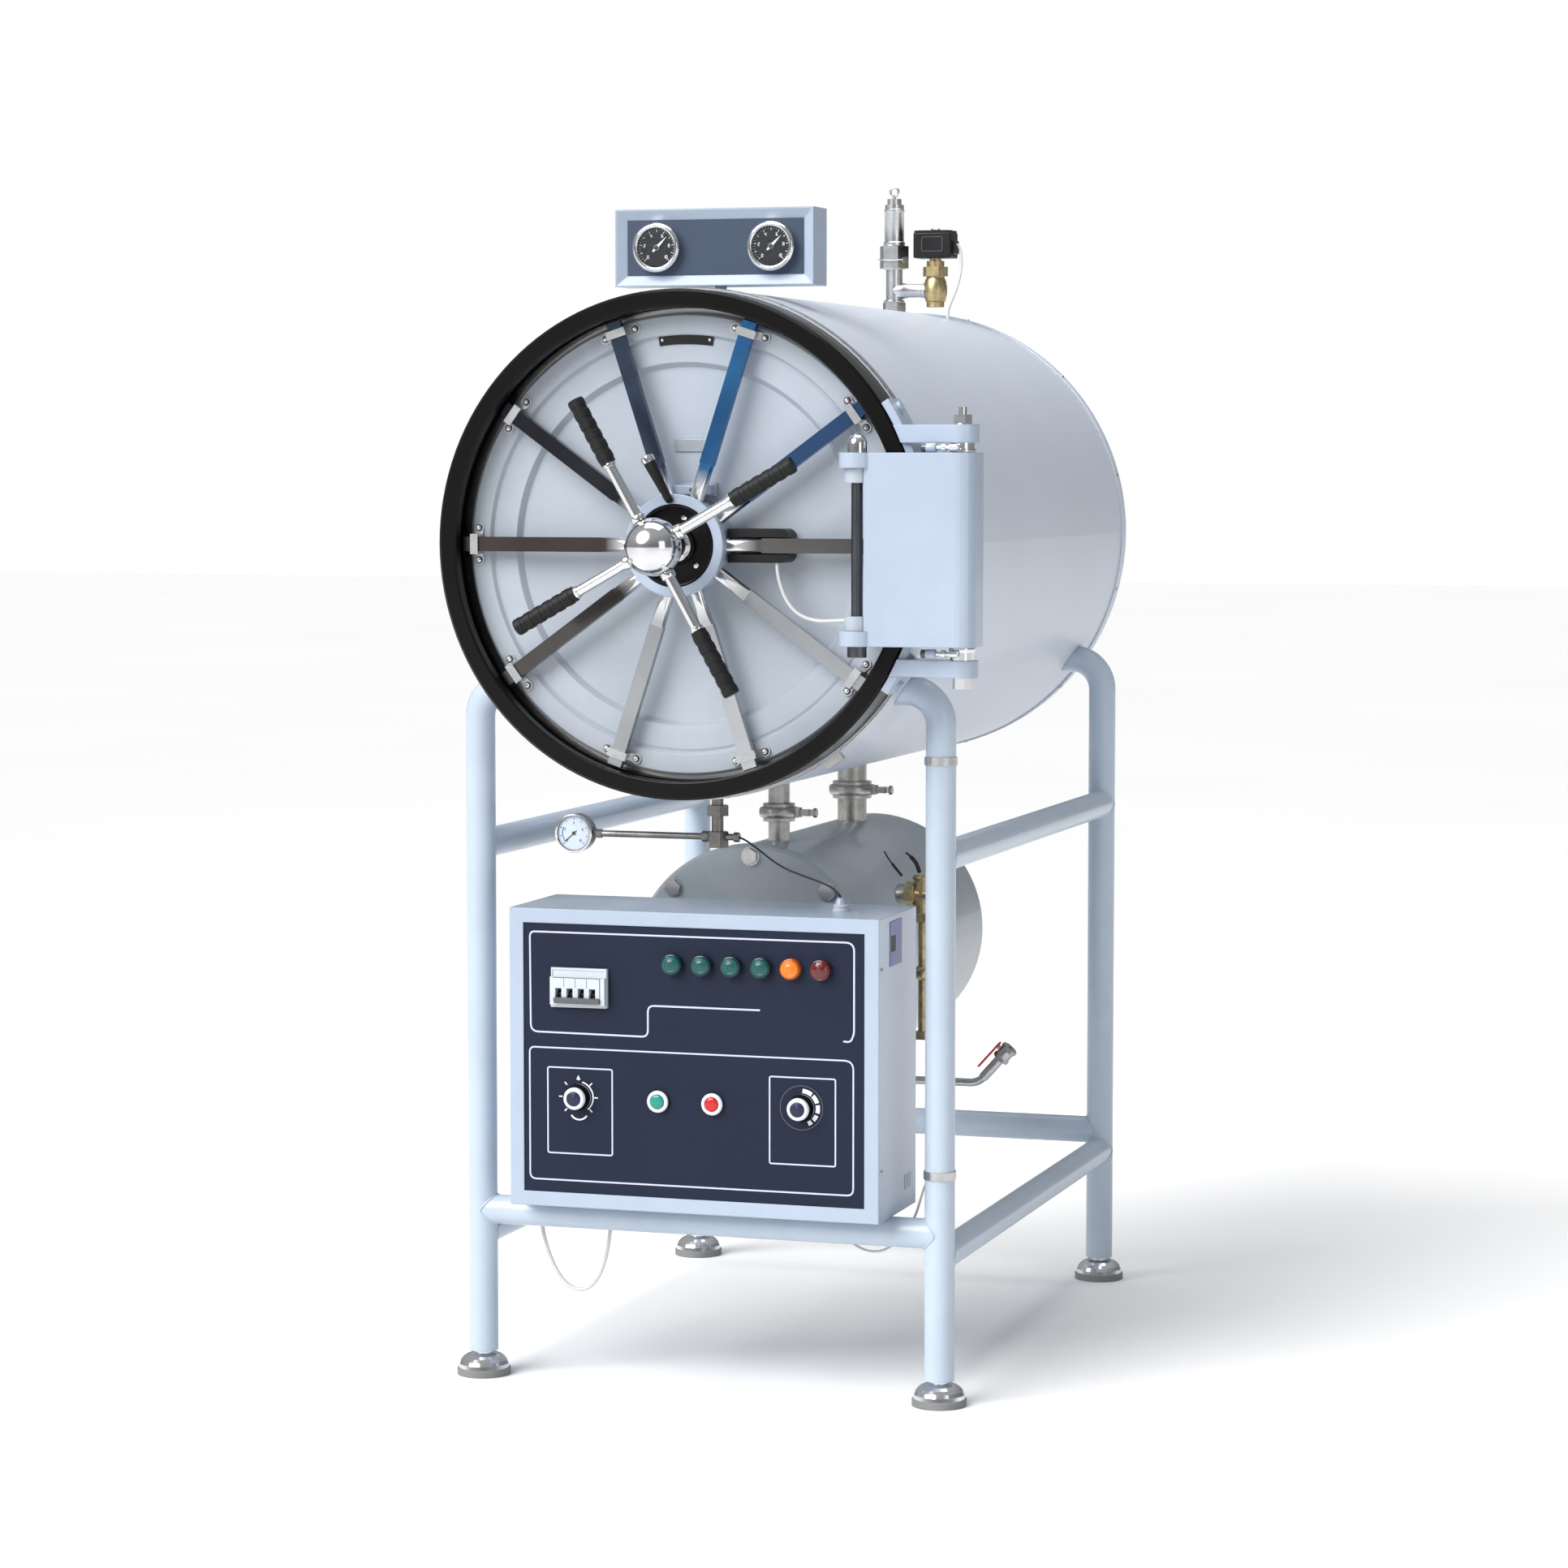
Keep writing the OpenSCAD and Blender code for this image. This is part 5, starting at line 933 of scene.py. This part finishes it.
# The two buttons' caps, which fit inside their bezels when pressed, and the bezels' rims
cap = [(10.56, 6.6), (10.66, 8.2), (10.2, 9.2), (6.6, 9.8), (0, 10.0)]
rim = [(11.0, 5.0), (11.2, 8.0), (12.6, 8.8), (15.0, 8.4), (16.4, 6.8), (16.7, 4.8)]
rim_side = [(16.7, 4.8), (16.4, 0.0)]
for body, colour in (("start", "green"), ("stop", "red")):
    at = basis((BUTTON_X[body], PANEL_Y, BUTTON_Z))
    turned(f"{body}_cap", body, cap, at, 40, colour, 80)
b = Bits()
for x in BUTTON_X.values():
    at = basis((x, PANEL_Y, BUTTON_Z))
    b.lathe(rim, at, 48)
    b.lathe(rim_side, at, 48, 1)
b.make("button_rims", "stand", ["ring", "dark"], angle=60)

# The breaker's frame and seams, and the cover of the tie that joins its toggles
front = face_plane(0, low("breaker").y, 0)
outline = [(-220.5, 585.2), (-134.5, 585.2), (-134.5, 641.3), (-220.5, 641.3)]
pole_count = 4
pole_w = 18
first_seam = -216.5
toggle_axis = (0, PANEL_Y, 601.8)
thrown = math.radians(22)
b = Bits()
b.ribbon(outline, 2.6, 1.2, face_plane(0, PANEL_Y - 6, 0), closed=True)
b.ribbon([(-216, 629.0), (-140, 629.0)], 1.0, 0.4, front, 1)
b.ribbon([(-141.5, 590), (-141.5, 628)], 1.0, 0.4, front, 1)
for i in range(1, pole_count):
    x = first_seam + pole_w * i
    b.ribbon([(x, 614.5), (x, 628)], 0.6, 0.3, front, 1)
b.make("breaker_trim", "stand", ["ivory", "greycap"])
tilt = Matrix.Translation(toggle_axis) @ Matrix.Rotation(thrown, 4, "X")
b = Bits()
b.box((-213.4, -20.9, -4.0), (-141.6, -15.6, 4.0), 0, tilt)
b.make("tie_cover", "toggle", ["greycap"], bevel=0.5)

# The cabinet's side screws, bare plate and gland, and the water valve's leads
side_x = high("control_cabinet").x
screw_y = -570
gland = (201, -486, high("control_cabinet").z - 20)
screw = [(0, 0), (4.6, 0), (4.6, 0.8), (3.8, 2.2), (1.8, 3.0), (0, 3.1)]
rings = [(9.0, 0), (12.2, 0), (12.4, 1.2), (12.2, 3.2), (10.0, 3.6), (10.0, 6.2), (11.0, 6.6), (11.0, 9.0),
         (9.6, 9.8), (9.0, 10.0)]
thin_lead = [(229, -250, 762), (222, -250, 770), (214, -251, 780), (206, -252, 791), (201, -253, 800)]
thick_lead = [(257, -250, 768), (252, -251, 782), (244, -252, 792), (236, -253, 799)]
b = Bits()
for z in (654, 354):
    b.lathe(screw, basis((side_x, screw_y, z), RIGHT), 24)
    b.lathe(screw, basis((-side_x, screw_y, z), LEFT), 24)
b.make("cabinet_screws", "stand", ["steel"])
b = Bits()
b.box((side_x - 0.2, -528, 655), (side_x + 0.9, -466, 722))
b.box((side_x + 0.6, -522, 676), (side_x + 1.3, -500, 700), 1)
b.make("side_plate_blank", "stand", ["blue_plate", "ink"], bevel=0.4)
turned("gland_rings", "stand", rings, basis(gland, UP), 36, "ivory")
b = Bits()
b.tube(smooth_path(thin_lead, 4), [2.2] * 9 + [1.2] * 8, 10)
b.tube(smooth_path(thick_lead, 4), [3.2] * 9 + [1.6] * 4, 10)
b.make("valve_leads", "stand", ["black_cable"])

# Seams of the safety valve and its tee, and the wire and seal through the cap
top = high("drum_casing").z
collar = [(14.0, 72), (19.0, 72.6), (19.8, 75), (19.8, 79), (19.0, 81), (14.0, 81.6)]
bonnet = [(16.0, 112), (18.0, 112.4), (18.4, 114), (18.4, 118), (17.4, 119.4), (16.4, 120), (16.4, 168),
          (17.0, 169), (17.0, 174), (16.0, 175)]
foot = [(14.0, 16), (17.4, 16.4), (17.8, 18), (17.4, 20), (14.0, 20.4)]
branch = [(14.0, 0), (14.0, 14), (12.4, 22), (11.4, 24), (11.4, 50), (12.4, 51), (12.4, 56), (9, 57)]
wire = [(-21, 492, 1744), (-24, 478, 1743), (-14, 467, 1742), (2, 466, 1741), (18, 470, 1742),
        (24, 482, 1745), (22, 492, 1750)]
seal = [(0, 0), (5.5, 0), (5.5, 3.0), (0, 3.0)]
at = basis((0, VALVE_Y, top), UP)
b = Bits()
for profile in (collar, bonnet, foot):
    b.lathe(profile, at, 40)
b.lathe(branch, basis((0, VALVE_Y, top + 36), RIGHT), 32)
b.make("valve_tee", "stand", ["silver"])
b = Bits()
b.tube(smooth_path(wire, 4), 1.0, 6)
b.lathe(seal, basis((22, 476, 1742), (0.8, -0.6, 0)), 20)
b.make("lock_wire", "stand", ["steel"])

# The brass body with its nut, the coil's rounded cover, and the coil's nut and label frame
x = middle("exhaust_valve").x
body_z = low("exhaust_valve").z + 28
body = [(0, -24), (10, -24), (17, -18), (20, -6), (20, 6), (18, 16), (15.4, 22)]
x0, y0, z0 = low("exhaust_coil") - Vector((0.7, 0.6, 0.5))
x1, y1, z1 = high("exhaust_coil") + Vector((0.7, 0.6, 0.6))
nut = [(0, 0), (8, 0), (8, 2.6), (6.6, 4.0), (0, 4.2)]
label = [(-18, -12), (18, -12), (18, 12), (-18, 12)]
b = Bits()
b.lathe(body, basis((x, VALVE_Y, body_z), UP), 40)
b.hexagon(flats=30, h0=-22, h1=-8, at=basis((x, VALVE_Y, body_z - 14), (0.35, 0, -1)))
b.make("exhaust_body", "stand", ["brass"])
b = Bits()
b.box((x0, y0, z0), (x1, y1, z1 - 4))
b.box((x0 + 5, y0 + 4, z1 - 5), (x1 - 5, y1 - 4, z1))
b.box((x1 - 3, y0 + 8, z0 + 6), (x1 + 4.5, y1 - 8, z0 + 30))
b.make("coil_cover", "stand", ["plastic"], bevel=3.0, segments=3)
b = Bits()
b.lathe(nut, basis((x, VALVE_Y, high("exhaust_coil").z), UP), 28)
at = face_plane(x, y0, middle("exhaust_coil").z)
b.ribbon(corner_path(label, 3, True, 3), 0.8, 0.3, at, 1, closed=True)
b.make("coil_nut", "stand", ["silver", "greycap"])

# The water valve's flange, cap and neck
x = 262
y = middle("water_valve").y
outlet_z = 735
neck_z = 757
flange = [(13, 10), (16.5, 10.6), (17, 12), (17, 24), (16, 25), (13, 25.4)]
cap = [(12, 26), (15.6, 26.6), (16, 28), (15, 39), (12.4, 41), (0, 41.6)]
neck = [(13, 0), (15, 0.6), (15.4, 2), (15.4, 5), (15, 6.4), (13, 7)]
at = basis((x, y, outlet_z), LEFT)
b = Bits()
b.lathe(flange, at, 36)
b.lathe(cap, at, 36, 1)
b.lathe(neck, basis((x, y, neck_z), UP), 36)
b.make("water_valve_body", "stand", ["brass", "pipe"])


# Clamps of the steam pipes: name, place along Y, radius of the pipe and height
CLAMPS = (("front", -157, 16.85, 848), ("rear", 245, 24.15, 854))


def add_clamp(tag, y, r, z):
    """The clamp of a steam pipe of radius r: band, ears, wing bolt and ferrules."""
    half_band = [(r + 7.6, 8.4), (r + 12.4, 7.8), (r + 14.2, 5), (r + 14.6, 2)]
    band = [(q, -h) for q, h in half_band] + half_band[::-1]
    ferrule = [(r + 0.2, 15), (r + 4.0, 14.6), (r + 8.4, 13.6), (r + 8.6, 9)]
    at = basis((0, y, z), UP)
    b = Bits()
    b.lathe(band, at, 56)
    for s in (-1, 1):
        b.box((r + 10, -9, -7.5), (r + 19, -3.4, 7.5), 0, at @ Matrix.Scale(s, 4, (0, 1, 0)))
    b.hexagon(flats=13, h0=r + 40, h1=r + 46, at=at @ basis((0, 0, 0), RIGHT))
    b.lathe(ferrule, at, 48)
    b.lathe([(q, -h) for q, h in ferrule], at, 48)
    b.make(f"{tag}_clamp", "stand", ["pipe"])


for clamp in CLAMPS:
    add_clamp(*clamp)


# Frame and rims
def weld(bits, p, axis, rail_r, post_r):
    """The bead where a rail meets an upright post."""
    bead_r = 2.2
    seg = 40
    at = basis(p, axis)
    pts = []
    for i in range(seg + 1):
        a = 2 * math.pi * i / seg
        x = rail_r * math.cos(a)
        y = rail_r * math.sin(a)
        reach = math.sqrt(max(0.0, post_r ** 2 - min(post_r, abs(y)) ** 2))
        ripple = 1 + 0.10 * math.sin(9 * a) + 0.05 * math.sin(23 * a + 1)
        pts.append(at @ Vector((x, y, reach + 0.2 * ripple)))
    bits.tube(pts, bead_r, 8, 0, caps=False)


# A bead where each rail meets a post
post_r = 22.5
rail_r = 22.3
post_x = high("frame_rails").x - post_r
post_y = high("frame_rails").y - post_r
cross_rail_z = 256.7
long_rail_z = (222.1, 818.2)
b = Bits()
for sx in (-1, 1):
    for sy in (-1, 1):
        x = sx * post_x
        y = sy * post_y
        weld(b, (x, y, cross_rail_z), (-sx, 0, 0), rail_r, post_r)
        for z in long_rail_z:
            weld(b, (x, y, z), (0, -sy, 0), rail_r, post_r)
b.make("weld_beads", "stand", ["frame"], angle=80)

# The rear cover's band and fasteners, and the lip of the black ring
cover_r = high("rear_cover").x
band_y = low("rear_cover").y + 0.5
screw_y = band_y + 11.5
screw_count = 12
band = [(cover_r - 1.8, 0), (cover_r + 0.6, 0), (cover_r + 1, 0.8), (cover_r + 1, 1.6),
        (cover_r + 0.2, 2.2), (cover_r - 1.8, 2.2)]
screw = [(0, 0), (4.2, 0), (4.2, 0.8), (3.2, 2.0), (0, 2.4)]
lip = [(346.4, 0.2), (346.2, -1.2), (347.0, -2.6), (349.2, -3.4), (351.4, -3.2)]
b = Bits()
b.lathe(band, basis((0, band_y, AXIS_Z)), 120)
for k in range(screw_count):
    a = 360 / screw_count * (k + 0.5)
    c, s = polar(1, a)
    b.lathe(screw, basis(spoke(a, screw_y, cover_r - 0.2), (c, 0, s)), 16, 1)
b.make("rear_rim_trim", "stand", ["drum", "steel"])
flipped = basis((0, low("mouth_ring").y + 3.1, AXIS_Z)) @ Matrix.Scale(-1, 4, UP)
turned("ring_lip", "stand", lip, flipped, 160, "black", 80)

# The generator plate's washers and bolt heads
plate_y = low("heater_flange").y + 8
centre_z = middle("heater_flange").z
bolt_r = 178
bolt_count = 8
washer = [(9.0, 0), (15.0, 0), (15.4, 0.8), (15.0, 2.0), (9.0, 2.4)]
b = Bits()
for k in range(bolt_count):
    c, s = polar(1, 90 - 360 / bolt_count * k)
    p = (bolt_r * c, plate_y, centre_z + bolt_r * s)
    b.lathe(washer, basis(p), 32)
    b.hexagon(flats=23.2, h0=2.2, h1=8.7, at=basis(p, OUT, (c, 0, s)))
b.make("flange_washers", "stand", ["steel"])


# Studio: a plain pale floor that only the pictures show
half = 40
drop = 0.0004
mesh = bpy.data.meshes.new("studio_floor")
bm = bmesh.new()
for x, y in ((-half, -half), (half, -half), (half, half), (-half, half)):
    bm.verts.new((x, y, -drop))
bm.faces.new(bm.verts)
bmesh.ops.recalc_face_normals(bm, faces=bm.faces)
bm.to_mesh(mesh)
bm.free()
mesh.materials.append(M["floor"])
floor = bpy.data.objects.new("studio_floor", mesh)
scene.collection.objects.link(floor)

# Light from a sky that is darker low down and towards +X. Seen straight on it is white
world = bpy.data.worlds.new("studio")
scene.world = world
world.use_nodes = True
tree = world.node_tree
link = tree.links.new
sky = tree.nodes["Background"]
sky.inputs["Strength"].default_value = 0.42
place = add_node(tree, "TexCoord")
split = add_node(tree, "SeparateXYZ")
ramp = add_node(tree, "ValToRGB")
set_stops(ramp, (0.0, (0.42, 0.44, 0.47)), (0.62, (0.98, 0.99, 1.0)))
side = add_node(tree, "Math")
side.operation = "MULTIPLY_ADD"
side.inputs[1].default_value = -0.30
backdrop = add_node(tree, "Background", Color=(1.0, 1.0, 1.0, 1))
seen = add_node(tree, "LightPath")
pick = add_node(tree, "MixShader")
link(place.outputs["Generated"], split.inputs["Vector"])
link(split.outputs["X"], side.inputs[0])
link(split.outputs["Z"], side.inputs[2])
link(side.outputs[0], ramp.inputs["Fac"])
link(ramp.outputs["Color"], sky.inputs["Color"])
link(seen.outputs["Is Camera Ray"], pick.inputs["Fac"])
link(sky.outputs["Background"], pick.inputs[1])
link(backdrop.outputs["Background"], pick.inputs[2])
link(pick.outputs["Shader"], tree.nodes["World Output"].inputs["Surface"])


def aim(way):
    """The rotation that points a lamp along a direction."""
    return Vector(way).to_track_quat("-Z", "Y").to_euler()


def add_area(name, place, target, size, power, colour=(1, 1, 1)):
    """A rectangular lamp, places and sizes in metres and power in watts."""
    data = bpy.data.lights.new(name, "AREA")
    data.shape = "RECTANGLE"
    data.size, data.size_y = size
    data.energy = power
    data.color = colour
    o = bpy.data.objects.new(name, data)
    o.location = place
    o.rotation_euler = aim(Vector(target) - Vector(place))
    scene.collection.objects.link(o)


# A soft sun from the front left
data = bpy.data.lights.new("key", "SUN")
data.energy = 3.75
data.angle = math.radians(44)
data.color = (1.0, 0.99, 0.98)
sun = bpy.data.objects.new("key", data)
sun.rotation_euler = aim((3.2, 5.0, -4.4))
scene.collection.objects.link(sun)

add_area("fill", (4.6, -4.0, 2.2), (0, 0, 0.9), (2.2, 2.6), 30, (0.95, 0.98, 1.0))
add_area("top", (0.0, 0.4, 4.8), (0, 0.2, 1.2), (3.0, 3.4), 90)

scene.view_settings.view_transform = "Standard"
scene.view_settings.look = "None"
